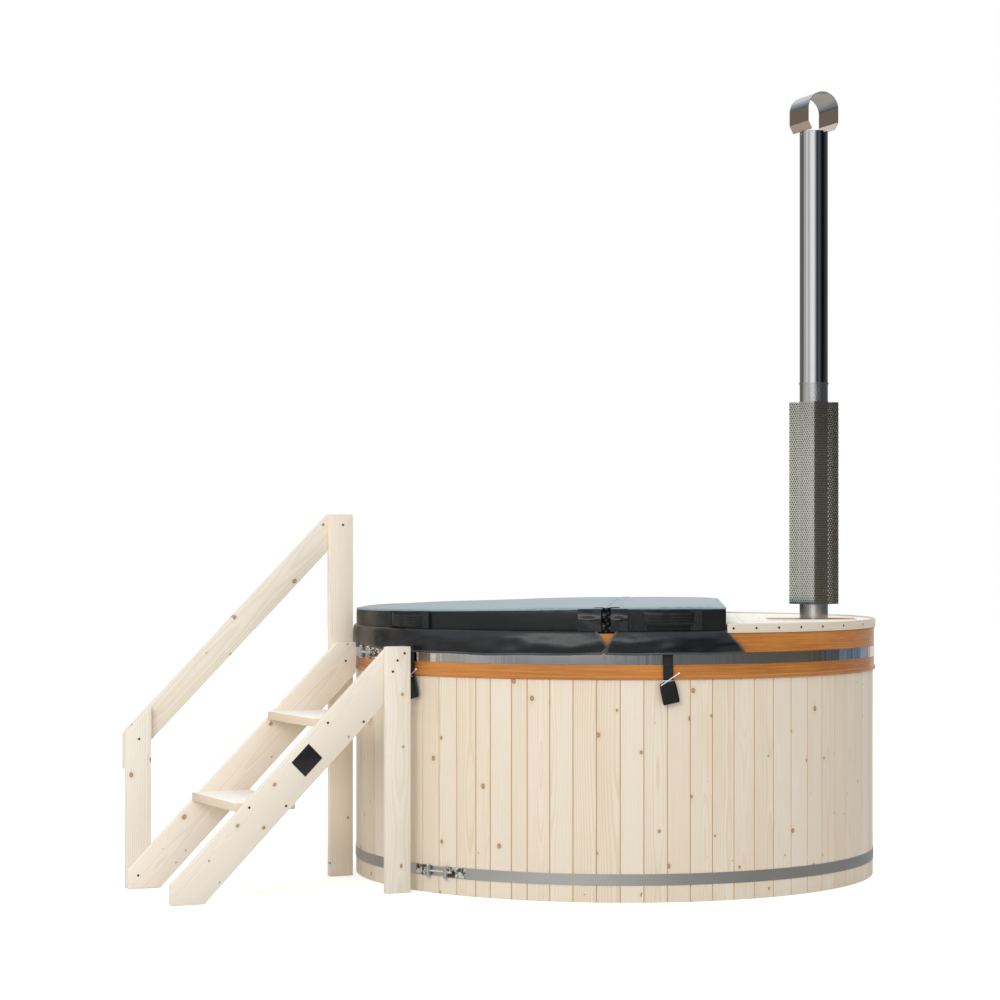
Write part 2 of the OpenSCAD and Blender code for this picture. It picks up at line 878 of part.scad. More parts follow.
// The ball is a turned ring, shut at rest: its bore lies across the pipe.
module drain_ball() {
    color("gainsboro")
        drain_frame()
            translate([0, 0, valve_x])
                rotate([90, 0, 0])
                    rotate_extrude()
                        intersection() {
                            circle(d = ball_d);
                            translate([drain_bore / 2, -ball_d]) square(2 * ball_d);
                        }
}

module drain_lever() {
    color("firebrick")
        drain_frame()
            translate([0, 0, valve_x])
                rotate([0, -90, 0]) {
                    translate([0, 0, ball_d / 2])
                        cylinder(d = stem_d, h = stem_top - ball_d / 2 + 1);
                    translate([-lever_w / 2, -lever_w / 2, stem_top])
                        cube([lever_w, lever_l, lever_t]);
                }
}

module hose_spigot() {
    color("silver")
        drain_frame()
            translate([0, 0, spigot_x]) pipe(spigot_d / 2, drain_bore / 2, spigot_l);
}

// The steps' frame: x up the slope, y away from the viewer, z up.
module stair_frame() {
    rotate([0, 0, stair_az])
        translate([tub_r + stair_gap, 0, 0])
            rotate([0, 0, stair_turn - stair_az])
                translate([-stair_run, -stair_w / 2, 0])
                    children();
}

// A board with the outline of its children, standing from y to y + t.
module upright_board(y, t) {
    stair_frame()
        translate([0, y + t, 0]) rotate([90, 0, 0]) linear_extrude(t) children();
}

module stringer_outline() {
    polygon([
        [0, 0],
        [(stringer_drop - foot_h) / tan(slope), 0],
        [stair_run, foot_h - stringer_drop + stair_run * tan(slope)],
        [stair_run, stair_h],
        [stair_run - stair_head, stair_h],
        [0, foot_h]
    ]);
}

module front_stringer() {
    color(spruce) upright_board(0, board_t) stringer_outline();
}

module rear_stringer() {
    color(spruce) upright_board(stair_w - board_t, board_t) stringer_outline();
}

module front_post() {
    color(spruce)
        upright_board(-board_t, board_t)
            translate([stair_run - post_w, 0]) square([post_w, stair_h]);
}

module rear_post() {
    color(spruce)
        upright_board(stair_w, board_t)
            translate([stair_run - post_w, 0]) square([post_w, rail_top_z]);
}

module low_post() {
    color(spruce)
        upright_board(stair_w, board_t)
            polygon([
                [0, 0],
                [post_w, 0],
                [post_w, rail_foot_z + post_w * tan(slope)],
                [0, rail_foot_z]
            ]);
}

module handrail() {
    color(spruce)
        upright_board(stair_w + board_t, board_t)
            polygon([
                [0, rail_foot_z - rail_drop],
                [stair_run, rail_foot_z - rail_drop + stair_run * tan(slope)],
                [stair_run, rail_top_z],
                [(rail_top_z - rail_foot_z) / tan(slope), rail_top_z],
                [0, rail_foot_z]
            ]);
}

module tread(i) {
    color(spruce)
        stair_frame()
            translate([tread_u + i * tread_run, board_t,
                       low_tread_z + i * tread_rise - tread_t])
                cube([tread_l, stair_w - 2 * board_t, tread_t]);
}

module lower_tread() { tread(0); }

module upper_tread() { tread(1); }

// A countersunk screw whose head lies at its origin and whose shank runs along +Z.
module wood_screw() {
    translate([0, 0, -screw_proud]) cylinder(d = screw_head_d, h = screw_head_h);
    cylinder(d = screw_d, h = screw_l);
}

// A screw in the steps, driven from the front (+y) or from the back (-y).
module stair_screw(u, y, z, from_front = true) {
    translate([u, y, z]) rotate([from_front ? -90 : 90, 0, 0]) wood_screw();
}

// Tread screws sit at a fifth and at four fifths of each tread's depth.
module stair_screws() {
    inset = 24;
    post_u = stair_run - inset;
    color("dimgray")
        stair_frame() {
            for (i = [0, 1], share = [0.2, 0.8]) {
                u = tread_u + i * tread_run + share * tread_l;
                z = low_tread_z + i * tread_rise - tread_t / 2;
                stair_screw(u, 0, z);
                stair_screw(u, stair_w, z, false);
            }
            for (p = post_screws)
                stair_screw(post_u + p[0], -board_t, stair_h - inset + p[1]);
            stair_screw(post_u - rear_screw_in, stair_w - board_t, stair_h - inset - rear_screw_down);
            stair_screw(post_u - rear_screw_in, stair_w, rail_top_z - rail_screw_down);
            stair_screw(post_w / 2, stair_w, rail_foot_z - rail_foot_screw_down);
            stair_screw(post_w / 2 - low_screw_in, stair_w - board_t, foot_h - low_screw_down);
        }
}

module label_plate() {
    plate_u = stair_run * 0.563;
    board_mid = foot_h + plate_u * tan(slope) - stringer_drop / 2;
    color("black")
        stair_frame()
            translate([plate_u, -plate_t, board_mid + 12])
                rotate([0, -slope, 0])
                    translate([-plate_l / 2, 0, -plate_w / 2]) cube([plate_l, plate_t, plate_w]);
}

// The part of the round lid that lies over the stove.
module over_stove() {
    intersection() {
        children();
        translate([lid_x, -far / 2, 0]) cube([far, far, far]);
    }
}

module lid_boards() {
    first_w = 63;
    board_n = ceil((lid_board_r - lid_x - first_w) / lid_pitch) + 1;
    color(spruce)
        over_stove()
            difference() {
                intersection() {
                    translate([0, 0, lid_z]) cylinder(r = lid_board_r, h = lid_board_t);
                    union()
                        for (i = [0:board_n - 1]) {
                            x = i == 0 ? lid_x : lid_x + first_w + (i - 1) * lid_pitch + gap;
                            w = (i == 0 ? first_w : lid_pitch) - gap;
                            translate([x, -far / 2, 0]) cube([w, far, far]);
                        }
                }
                translate([mouth_x - mouth_l / 2, -mouth_w / 2, 0])
                    cube([mouth_l, mouth_w, far]);
            }
}

module lid_rim() {
    color(spruce)
        over_stove()
            translate([0, 0, lid_z]) pipe(lid_r, lid_r - lid_rim_t, lid_rim_h);
}

module lid_battens() {
    start_x = lid_x + 30;
    inner_y = mouth_w / 2 + 12;
    outer_y = liner_in_r * 0.66;
    color(spruce)
        for (y = [inner_y, outer_y], side = [-1, 1]) {
            end_x = sqrt(pow(liner_in_r - 10, 2) - pow(y + batten_w, 2));
            translate([start_x, side > 0 ? y : -y - batten_w, lid_z - batten_t])
                cube([end_x - start_x, batten_w, batten_t]);
        }
}

module lid_screws() {
    color("dimgray")
        for (i = [0:6], side = [-1, 1]) {
            x = min(lid_x + 22 + i * lid_pitch, lid_r * 0.93);
            rotate([0, 0, side * acos(x / lid_r)])
                translate([lid_r, 0, lid_z + lid_rim_h / 2])
                    rotate([0, -90, 0]) wood_screw();
        }
}

// A half of the padded cover: a slice of the round cover between two heights.
module cover_half(from_x, to_x, from_t, to_t) {
    intersection() {
        translate([0, 0, cover_z]) cylinder(r = cover_r, h = 2 * cover_t);
        translate([0, far / 2, 0])
            rotate([90, 0, 0])
                linear_extrude(far)
                    polygon([
                        [from_x, cover_z],
                        [to_x, cover_z],
                        [to_x, cover_z + to_t],
                        [from_x, cover_z + from_t]
                    ]);
    }
}

module cover_left() {
    color(vinyl) cover_half(-cover_r, -fold_gap / 2, cover_edge_t, cover_t);
}

module cover_right() {
    color(vinyl) cover_half(fold_gap / 2, cover_edge_x, cover_t, cover_t);
}

module fold_strip() {
    half = sqrt(pow(cover_r, 2) - pow(hinge_strip_w, 2));
    color(vinyl)
        translate([1, -half, cover_top_z + gap]) cube([hinge_strip_w, 2 * half, vinyl_t]);
}

// The skirt hangs from the cover's lower edge, outside collar and band.
module skirt(from_az, to_az) {
    sew_r = cover_r + gap;
    rotate([0, 0, from_az])
        rotate_extrude(angle = to_az - from_az)
            polygon([
                [sew_r, skirt_sew_z],
                [skirt_r, skirt_knee_z],
                [skirt_r, skirt_low_z],
                [skirt_r + vinyl_t, skirt_low_z],
                [skirt_r + vinyl_t, skirt_knee_z],
                [sew_r + vinyl_t, skirt_sew_z]
            ]);
}

module skirt_left() {
    color(vinyl) skirt(90 + skirt_end_a, 270 - skirt_end_a);
}

module skirt_right() {
    color(vinyl) {
        skirt(skirt_chord_az, 90 - skirt_end_a);
        skirt(skirt_end_a - 90, -skirt_chord_az);
    }
}

// A webbing handle, flat on the cover's side, sewn on at each end under a patch.
module handle(az, edge_t) {
    half_a = handle_l / 2 / cover_r * 180 / PI;
    patch_a = patch_w / cover_r * 180 / PI;
    sewn_a = half_a + patch_a / 4;
    face_r = cover_r + gap;
    low_z = skirt_sew_z + 2;
    patch_h = cover_z + edge_t - low_z - 4;
    color(vinyl) {
        for (end_az = [az - half_a - patch_a, az + half_a])
            translate([0, 0, low_z])
                arc_bar(face_r, face_r + vinyl_t, patch_h, end_az, end_az + patch_a);
        translate([0, 0, low_z + (patch_h - handle_w) / 2])
            arc_bar(face_r, face_r + 2 * vinyl_t, handle_w, az - sewn_a, az + sewn_a);
    }
}

module handle_left() { handle(left_handle_az, cover_edge_t); }

module handle_right() { handle(right_handle_az, cover_t); }

// A strap's frame, on both sides of the tub: x outwards.
module strap_frames(az) {
    for (side = [-1, 1])
        rotate([0, 0, side * az]) children();
}

// The webbing hangs out of the skirt's hem and leans out over the bead.
module strap() {
    top_z = skirt_low_z - gap;
    top_r = skirt_r + 0.1;
    low_z = pouch_z + pouch_h + gap;
    bend_z = bead_z + bead_h + 8;
    translate([0, strap_w / 2, 0])
        rotate([90, 0, 0])
            linear_extrude(strap_w)
                polygon([
                    [top_r, top_z],
                    [strap_in_r, bend_z],
                    [strap_in_r, low_z],
                    [strap_in_r + vinyl_t, low_z],
                    [strap_in_r + vinyl_t, bend_z],
                    [top_r + vinyl_t, top_z]
                ]);
}

module straps_left() { color(vinyl) strap_frames(left_strap_az) strap(); }

module straps_right() { color(vinyl) strap_frames(right_strap_az) strap(); }

module pouch() {
    translate([strap_in_r, -pouch_w / 2, pouch_z]) cube([pouch_t, pouch_w, pouch_h]);
}

module pouches_left() { color(vinyl) strap_frames(left_strap_az) pouch(); }

module pouches_right() { color(vinyl) strap_frames(right_strap_az) pouch(); }

// A cable tie lies aslant over the strap and the pouch's mouth.
module zip_tie() {
    translate([strap_in_r + pouch_t + gap, 0, pouch_z + pouch_h + 6])
        rotate([90 + tie_tilt, 0, 0]) {
            translate([0, -tie_w / 2, -tie_l / 2]) cube([tie_t, tie_w, tie_l]);
            translate([0, -tie_head / 2, -tie_l / 2 - tie_head])
                cube([tie_t + 2.5, tie_head, tie_head]);
        }
}

module zip_ties_left() { color("white") strap_frames(left_strap_az) zip_tie(); }

module zip_ties_right() { color("white") strap_frames(right_strap_az) zip_tie(); }

base_joists();
floor_panel();
floor_foam();
wall_foam();
tub_liner();
wall_staves();
drain_board();
closing_staves();
upper_band();
lower_band();
clamp_trunnions();
clamp_bolts();
clamp_nuts();
bench_slats();
bench_brackets();
partition_boards();
partition_rails();
stove_body();
stove_hatch();
hatch_handle();
flue_collar();
chimney_lower();
chimney_upper();
chimney_cap();
cap_rivets();
heat_guard();
guard_standoffs();
drain_fitting();
drain_locknut();
drain_strainer();
drain_valve();
drain_ball();
drain_lever();
hose_spigot();
front_stringer();
rear_stringer();
front_post();
rear_post();
low_post();
handrail();
lower_tread();
upper_tread();
stair_screws();
label_plate();
lid_boards();
lid_rim();
lid_battens();
lid_screws();
cover_left();
cover_right();
fold_strip();
skirt_left();
skirt_right();
handle_left();
handle_right();
straps_left();
straps_right();
pouches_left();
pouches_right();
zip_ties_left();
zip_ties_right();
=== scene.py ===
import math
from functools import partial
from math import cos, exp, pi, radians, sin

import bpy
from mathutils import Matrix, Vector


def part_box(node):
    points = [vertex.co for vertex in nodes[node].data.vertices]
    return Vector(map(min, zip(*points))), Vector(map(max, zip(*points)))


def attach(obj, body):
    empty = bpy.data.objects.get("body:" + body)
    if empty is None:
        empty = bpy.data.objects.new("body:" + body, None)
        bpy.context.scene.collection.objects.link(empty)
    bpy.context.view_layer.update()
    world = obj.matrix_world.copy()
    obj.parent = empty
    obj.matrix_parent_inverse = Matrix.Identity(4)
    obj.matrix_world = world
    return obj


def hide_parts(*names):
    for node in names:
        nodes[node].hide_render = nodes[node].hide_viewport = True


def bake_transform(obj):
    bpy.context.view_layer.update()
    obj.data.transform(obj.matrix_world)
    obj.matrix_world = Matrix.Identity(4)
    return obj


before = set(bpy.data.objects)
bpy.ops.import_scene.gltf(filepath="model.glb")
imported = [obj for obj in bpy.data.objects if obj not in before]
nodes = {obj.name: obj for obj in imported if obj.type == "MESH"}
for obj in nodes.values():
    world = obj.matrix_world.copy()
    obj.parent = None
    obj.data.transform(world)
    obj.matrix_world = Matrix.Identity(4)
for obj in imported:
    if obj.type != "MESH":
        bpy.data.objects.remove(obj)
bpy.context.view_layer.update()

# ---- Studio ----------------------------------------------------------------
# A pale floor that keeps the tub's shadow, soft daylight from the front left,
# and a sky that is bright on that side and dark at the right, for the steel.


def feed(node, inputs):
    """Links or sets a node's inputs by name or number."""
    for name, value in inputs.items():
        if isinstance(value, bpy.types.NodeSocket):
            node.id_data.links.new(value, node.inputs[name])
        else:
            node.inputs[name].default_value = value


def put(tree, kind, inputs=None, **settings):
    """Adds a shader node, with its settings and inputs."""
    node = tree.nodes.new(kind if kind.startswith("NodeGroup") else "ShaderNode" + kind)
    for key, value in settings.items():
        setattr(node, key, value)
    feed(node, inputs or {})
    return node


def beside(values, kind, inputs, **settings):
    """Adds a node to the tree that the first socket among some values is in."""
    tree = next(value.id_data for value in values if isinstance(value, bpy.types.NodeSocket))
    return put(tree, kind, inputs, **settings)


def maths(operation, *values):
    """The result of a Math node."""
    return beside(values, "Math", dict(enumerate(values)), operation=operation).outputs[0]


plus = partial(maths, "ADD")
minus = partial(maths, "SUBTRACT")
times = partial(maths, "MULTIPLY")
times_plus = partial(maths, "MULTIPLY_ADD")


def tint(factor, first, second, kind="MIX"):
    """The colour of a Mix node. Its colour sockets are numbers 6 and 7."""
    inputs = {0: factor, 6: first, 7: second}
    return beside(inputs.values(), "Mix", inputs, data_type="RGBA", blend_type=kind).outputs[2]


def fade(value, low, high):
    """0 below low and 1 above high, with a soft slope between them."""
    inputs = {"Value": value, "From Min": low, "From Max": high}
    return beside([value], "MapRange", inputs, interpolation_type="SMOOTHSTEP").outputs[0]


def between(value, low, full, thin, high):
    """1 from full to thin, and 0 below low and above high."""
    return minus(fade(value, low, full), fade(value, thin, high))


def axes(vector):
    """The three parts of a vector."""
    return beside([vector], "SeparateXYZ", {0: vector}).outputs


scene = bpy.context.scene
scene.view_settings.view_transform = "Standard"

bpy.ops.object.select_all(action="DESELECT")
bpy.ops.object.camera_add(location=(0.240, -10.007, 1.233), rotation=(radians(90), 0, radians(3.9)))
camera = bpy.context.object
camera.data.sensor_width = 36
camera.data.lens = 92.45
camera.data.shift_y = 0.051
scene.camera = camera

# Brightness of the surroundings by degrees right of the camera: the first list
# is seen above eye level, the second just below it, as the bands mirror it.
high_round = (
    (-180, 0.85, 0), (-166, 0.50, 2), (-148, 0.20, 3), (-134, 0.14, 2), (-118, 0.20, 0), (-104, 0.10, -1),
    (-92, 0.28, 0), (-80, 0.60, 0), (-70, 0.50, 0), (-60, 0.95, 0), (-50, 0.56, 0), (-40, 0.62, -1),
    (-30, 0.95, 0), (-12, 1.15, 0), (0, 0.98, 0), (8, 0.55, -1), (16, 0.20, -2), (23, 0.030, -2),
    (33, 0.080, -1), (44, 0.12, -3), (52, 0.06, -3), (60, 0.010, 0), (84, 0.004, 0), (92, 0.028, -2),
    (106, 0.048, -4), (120, 0.080, -4), (140, 0.20, -3), (180, 0.85, 0),
)
low_round = (
    (-180, 0.60, 0), (-140, 0.34, 1), (-95, 0.34, 1), (-80, 0.40, 1), (-52, 0.40, 0), (-44, 0.27, 0),
    (-36, 0.22, 0), (-26, 0.15, -1), (-10, 0.13, 0), (3, 0.13, 0), (14, 0.24, 0), (24, 0.21, 0),
    (34, 0.17, 0), (50, 0.155, 1), (70, 0.14, 1), (84, 0.12, 2), (94, 0.12, 3), (101, 0.07, 2),
    (107, 0.14, 0), (116, 0.08, -3),
    (121, 0.34, -3), (126, 0.04, -3), (131, 0.36, -4), (136, 0.06, -4), (142, 0.46, -2), (150, 0.12, 0),
    (156, 0.80, 1), (180, 0.60, 0),
)
world = bpy.data.worlds.new("daylight")
scene.world = world
world.use_nodes = True
sky = world.node_tree
sky.nodes.clear()
ray_x, ray_y, ray_up = axes(put(sky, "TexCoord").outputs["Generated"])
bearing = maths("ARCTAN2", ray_x, times(ray_y, -1.0))
turn_share = times_plus(bearing, 0.5 / pi, 0.5)


def surroundings(levels):
    """A colour ramp right round the horizon."""
    ramp = put(sky, "ValToRGB", {0: turn_share})
    stops = ramp.color_ramp.elements
    stops.remove(stops[-1])
    for number, (degrees, light, warm) in enumerate(levels):
        place = (degrees + 180) / 360
        stop = stops[0] if number == 0 else stops.new(place)
        stop.position = place
        stop.color = (light * (1 + 0.07 * warm), light, light * (1 - 0.10 * warm), 1)
    return ramp.outputs[0]


ground = tint(fade(ray_up, -0.16, -0.06), (0.46, 0.45, 0.43, 1), surroundings(low_round))
eye_level = tint(fade(ray_up, -0.038, -0.028), ground, surroundings(high_round))
overhead = fade(ray_up, 0.20, 0.60)
open_sky = tint(overhead, eye_level, (0.84, 0.92, 0.98, 1))
# The sun shines through thin cloud, high up and a little left of the camera.
sun_up = between(ray_up, 0.30, 0.38, 0.52, 0.62)
sun_wide = between(bearing, -0.95, -0.60, 0.10, 0.50)
# A pale board stands at each side, level with the heat guard and no higher.
board_up = between(ray_up, -0.034, -0.024, 0.050, 0.064)
board_wide = between(maths("ABSOLUTE", bearing), 1.25, 1.40, 1.68, 1.85)
board_tone = tint(maths("GREATER_THAN", bearing, 0.0), (0.70, 0.70, 0.645, 1), (0.115, 0.107, 0.085, 1))
with_boards = tint(times(board_up, board_wide), open_sky, board_tone)
mirrored = tint(times(sun_up, sun_wide), with_boards, (4.2, 4.2, 4.1, 1))
path = put(sky, "LightPath").outputs
right_side = between(bearing, 0.2, 1.4, 2.0, 3.0)
low_cloud = tint(right_side, (0.585, 0.595, 0.61, 1), (0.40, 0.405, 0.42, 1))
cloudy = tint(fade(ray_up, 0.15, 0.70), low_cloud, (0.98, 0.99, 1.0, 1))
plain = tint(path["Is Glossy Ray"], cloudy, mirrored)
seen = maths("MAXIMUM", path["Is Camera Ray"], path["Is Transmission Ray"])
backdrop = tint(seen, plain, (1, 1, 1, 1))
shine = put(sky, "Background", {"Color": backdrop, "Strength": 1.0})
put(sky, "OutputWorld", {"Surface": shine.outputs[0]})


def new_finish(name, **constants):
    """A material with one Principled shader, and the values that are the same all over."""
    finish = bpy.data.materials.new(name)
    finish.use_nodes = True
    tree = finish.node_tree
    tree.nodes.clear()
    coat = put(tree, "BsdfPrincipled", {key.replace("_", " "): value for key, value in constants.items()})
    put(tree, "OutputMaterial", {"Surface": coat.outputs[0]})
    return finish, tree, coat


bpy.ops.mesh.primitive_plane_add(size=60, location=(0, 0, -0.0005))
floor = bpy.context.object
floor.name = "studio_floor"
floor.visible_glossy = False
pale = {"Base_Color": (0.86, 0.86, 0.86, 1), "Roughness": 0.9, "Emission_Color": (1, 1, 1, 1)}
floor_paint, floor_tree, floor_coat = new_finish("studio floor", **pale)
# What the camera sees of the floor is lifted to white, but for the shadow.
floor_seen = put(floor_tree, "LightPath").outputs["Is Camera Ray"]
feed(floor_coat, {"Emission Strength": times(floor_seen, 0.42)})
floor.data.materials.append(floor_paint)

for name, place, size, watts in (
    ("key_light", (-3.4, -9.2, 5.0), 4.5, 360),
    ("back_light", (3.5, 7.5, 5.5), 4.0, 260),
):
    bpy.ops.object.light_add(type="AREA", location=place)
    lamp = bpy.context.object
    lamp.name = name
    lamp.data.size = size
    lamp.data.energy = watts
    lamp.visible_glossy = False
    aim = Vector((0, 0, 0.8)) - Vector(place)
    lamp.rotation_euler = aim.to_track_quat("-Z", "Y").to_euler()

# ---- Base joists and floor panel -------------------------------------------
# Five sawn spruce joists lie on the ground inside the wall, and a round
# plywood panel is screwed on top of them. Both are raw wood.


def group(name, inputs, outputs):
    """A new shader node group: its tree, what goes in, and what it puts out."""
    tree = bpy.data.node_groups.new(name, "ShaderNodeTree")
    for side, sockets in (("INPUT", inputs), ("OUTPUT", outputs)):
        for label, kind in sockets.items():
            tree.interface.new_socket(name=label, in_out=side, socket_type="NodeSocket" + kind)
    return tree, put(tree, "NodeGroupInput").outputs


def vectors(operation, *values):
    """The result of a Vector Math node."""
    return beside(values, "VectorMath", dict(enumerate(values)), operation=operation).outputs[0]


scaled = partial(vectors, "MULTIPLY")


def length_of(vector):
    """The length of a vector."""
    return beside([vector], "VectorMath", {0: vector}, operation="LENGTH").outputs["Value"]


def joined(x, y, z):
    """A vector made of three parts."""
    return beside((x, y, z), "CombineXYZ", {0: x, 1: y, 2: z}).outputs[0]


def grainy(vector, by, detail=2.0):
    """Noise, from about 0 to 1, on a vector stretched part by part."""
    inputs = {"Vector": scaled(vector, by), "Scale": 1.0, "Detail": detail}
    return beside([vector], "TexNoise", inputs).outputs[0]


# Planed spruce: rings cut along the board, fine streaks, knots with the grain
# bent round them, and each board its own tone. X is across, Z along the board.
knot_cell = (13.0, 3.0, 4.5)
spruce, given = group(
    "Spruce",
    {"Vector": "Vector", "Board": "Float", "Pale": "Color", "Deep": "Color", "Knots": "Float"},
    {"Color": "Color", "Roughness": "Float", "Height": "Float"},
)
draw = put(spruce, "TexWhiteNoise", {"W": given["Board"]}, noise_dimensions="1D")
draw_x, draw_y, draw_z = axes(draw.outputs["Color"])
tone = draw.outputs["Value"]
shift = scaled(draw.outputs["Color"], (23.0, 23.0, 23.0))
wood = vectors("ADD", given["Vector"], shift)
cut_x, cut_y, _ = axes(given["Vector"])
cells = scaled(wood, knot_cell)
branch = put(spruce, "TexVoronoi", {"Vector": cells, "Scale": 1.0, "Randomness": 0.85})
away = vectors("SUBTRACT", cells, branch.outputs["Position"])
reach = scaled(away, tuple(1 / side for side in knot_cell))
distance = length_of(scaled(reach, (1.0, 0.0, 0.82)))
luck = put(spruce, "SeparateColor", {0: branch.outputs["Color"]}).outputs[0]
chance = maths("MAXIMUM", minus(luck, 0.42), 0.0)
size = times(maths("POWER", chance, 1.7), 0.020)
radius = maths("MAXIMUM", times(size, given["Knots"]), 0.0001)
inside = maths("DIVIDE", distance, radius)
knot = minus(1.0, fade(inside, 0.75, 1.2))
halo = minus(1.0, fade(inside, 0.9, 3.2))
pull = maths("EXPONENT", times(maths("POWER", inside, 2.0), -0.16))
bent = times(times(axes(reach)[0], pull), -0.8)
wander = times_plus(grainy(wood, (1.6, 1.6, 1.2)), 0.020, -0.010)
heart_x = times_plus(draw_x, 0.13, -0.065)
across = plus(plus(cut_x, bent), minus(wander, heart_x))
slope_z = grainy(wood, (0.0, 0.0, 1.1))
heart_y = times_plus(draw_y, 0.07, times_plus(slope_z, 0.05, -0.01))
deep_y = plus(heart_y, cut_y)
ring_r = maths("SQRT", plus(maths("POWER", across, 2.0), maths("POWER", deep_y, 2.0)))
pitch = times_plus(draw_z, 0.0035, 0.0032)
year = maths("FRACT", maths("DIVIDE", ring_r, pitch))
late = times(fade(year, 0.35, 0.88), minus(1.0, fade(year, 0.90, 1.0)))
streak = grainy(wood, (230.0, 230.0, 2.6), 3.0)
fibre = grainy(wood, (1300.0, 1300.0, 24.0), 1.0)
drift = grainy(wood, (7.0, 7.0, 1.4))
stain = times_plus(late, times_plus(draw_z, 0.22, 0.14), -0.30)
for part, share in ((streak, 0.34), (drift, 0.42), (tone, 0.20)):
    stain = times_plus(part, share, stain)
grain_colour = tint(stain, given["Pale"], given["Deep"])
knot_colour = tint(fade(inside, 0.2, 1.0), (0.45, 0.26, 0.12, 1), (0.22, 0.10, 0.045, 1))
haloed = tint(times(halo, 0.30), grain_colour, given["Deep"])
knotted = tint(times(knot, 0.88), haloed, knot_colour)
rough = times_plus(fibre, 0.12, times_plus(knot, -0.12, 0.54))
relief = times_plus(late, 0.5, times_plus(fibre, 0.6, knot))
put(spruce, "NodeGroupOutput", {"Color": knotted, "Roughness": rough, "Height": relief})

# Boards that lie side by side: which board a point is on, and its own frame.
side_by_side, given = group(
    "Side by side",
    {"Vector": "Vector", "Start": "Float", "Pitch": "Float"},
    {"Vector": "Vector", "Board": "Float"},
)
row_x, row_y, row_z = axes(given["Vector"])
row_share = maths("DIVIDE", minus(row_x, given["Start"]), given["Pitch"])
row_number = maths("FLOOR", row_share)
board_x = times(minus(minus(row_share, row_number), 0.5), given["Pitch"])
own_frame = joined(board_x, row_y, row_z)
put(side_by_side, "NodeGroupOutput", {"Vector": own_frame, "Board": row_number})

fresh_pale = (0.765, 0.690, 0.580, 1)
fresh_deep = (0.620, 0.455, 0.275, 1)


def place_in(tree):
    """The coordinates of the part itself, in metres."""
    return put(tree, "TexCoord").outputs["Object"]


def use(tree, shared, **inputs):
    """Places a group in a tree, with its inputs, and gives what it puts out."""
    return put(tree, "Group", inputs, node_tree=shared).outputs


def emboss(coat, height, strength, depth):
    """Feeds a height to the shader's Normal."""
    bump = beside([height], "Bump", {"Height": height, "Strength": strength, "Distance": depth})
    feed(coat, {"Normal": bump.outputs[0]})


def overpaint(finish, factor, tone, kind="MIX"):
    """Mixes a tone over the colour that a finish already has."""
    coat = next(node for node in finish.node_tree.nodes if node.type == "BSDF_PRINCIPLED")
    plain = coat.inputs["Base Color"].links[0].from_socket
    feed(coat, {"Base Color": tint(factor, plain, tone, kind)})


def spruce_finish(name, vector_of, pale=fresh_pale, deep=fresh_deep, knots=1.0):
    """Planed spruce. vector_of gives the board's own frame and its number."""
    finish, tree, coat = new_finish(name, Specular_IOR_Level=0.35)
    vector, board = vector_of(tree)
    boards = use(tree, spruce, Vector=vector, Board=board, Pale=pale, Deep=deep, Knots=knots)
    feed(coat, {"Base Color": boards["Color"], "Roughness": boards["Roughness"]})
    emboss(coat, boards["Height"], 0.35, 0.0005)
    return finish


def laid(origin, along, face, start=-50.0, pitch=100.0, number=0.0):
    """Boards whose grain runs along one direction and whose broad side faces another."""
    z_axis = Vector(along).normalized()
    y_axis = Vector(face).normalized()
    x_axis = y_axis.cross(z_axis)
    turn = Matrix((x_axis, y_axis, z_axis)).transposed().to_euler()

    def vector_of(tree):
        inputs = {"Vector": place_in(tree), "Location": tuple(origin), "Rotation": tuple(turn)}
        turned = put(tree, "Mapping", inputs, vector_type="TEXTURE").outputs[0]
        rows = use(tree, side_by_side, Vector=turned, Start=start, Pitch=pitch)
        return rows["Vector"], plus(rows["Board"], number)

    return vector_of


def pick(piece):
    """Selects this piece alone."""
    bpy.ops.object.select_all(action="DESELECT")
    piece.select_set(True)
    bpy.context.view_layer.objects.active = piece


def settle(piece, body, slot, *replaced):
    """Says which body a finished piece moves with, and hides the CAD nodes it stands for. Its slot is not
    used.
    """
    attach(piece, body)
    if replaced:
        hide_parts(*replaced)


def coat_all(piece, finish):
    """Gives a piece one material all over."""
    piece.data.materials.clear()
    piece.data.materials.append(finish)


def coat_nodes(finish, *names):
    """Gives CAD nodes that keep their own mesh a material."""
    for name in names:
        coat_all(nodes[name], finish)


def finish_modifier(piece, kind, **settings):
    """Adds a modifier with its settings and applies it."""
    pick(piece)
    modifier = piece.modifiers.new(kind.lower(), kind)
    for key, value in settings.items():
        setattr(modifier, key, value)
    bpy.ops.object.modifier_apply(modifier=modifier.name)


def edit(**steps):
    """Does mesh operators in edit mode, each to all of the piece picked."""
    bpy.ops.object.mode_set(mode="EDIT")
    for name, settings in steps.items():
        bpy.ops.mesh.select_all(action="SELECT")
        getattr(bpy.ops.mesh, name)(**settings)
    bpy.ops.object.mode_set(mode="OBJECT")


def merged_copy(node, ending, **steps):
    """A new piece with a CAD node's mesh, its loose triangles merged."""
    piece = bpy.data.objects.new(node + ending, nodes[node].data.copy())
    bpy.context.collection.objects.link(piece)
    pick(piece)
    bpy.ops.mesh.customdata_custom_splitnormals_clear()
    edit(remove_doubles={"threshold": 0.00001}, **steps)
    return piece


def eased_copy(node, body, slot, finish, edge=0.002, rounds=2, angle=35):
    """A copy of a CAD node with its sharp edges eased."""
    sharp = radians(angle)
    piece = merged_copy(node, "_eased", dissolve_limited={"angle_limit": radians(0.5)})
    bevel = {"limit_method": "ANGLE", "angle_limit": sharp, "harden_normals": False}
    finish_modifier(piece, "BEVEL", width=edge, segments=rounds, **bevel)
    bpy.ops.object.shade_smooth_by_angle(angle=sharp)
    coat_all(piece, finish)
    settle(piece, body, slot, node)


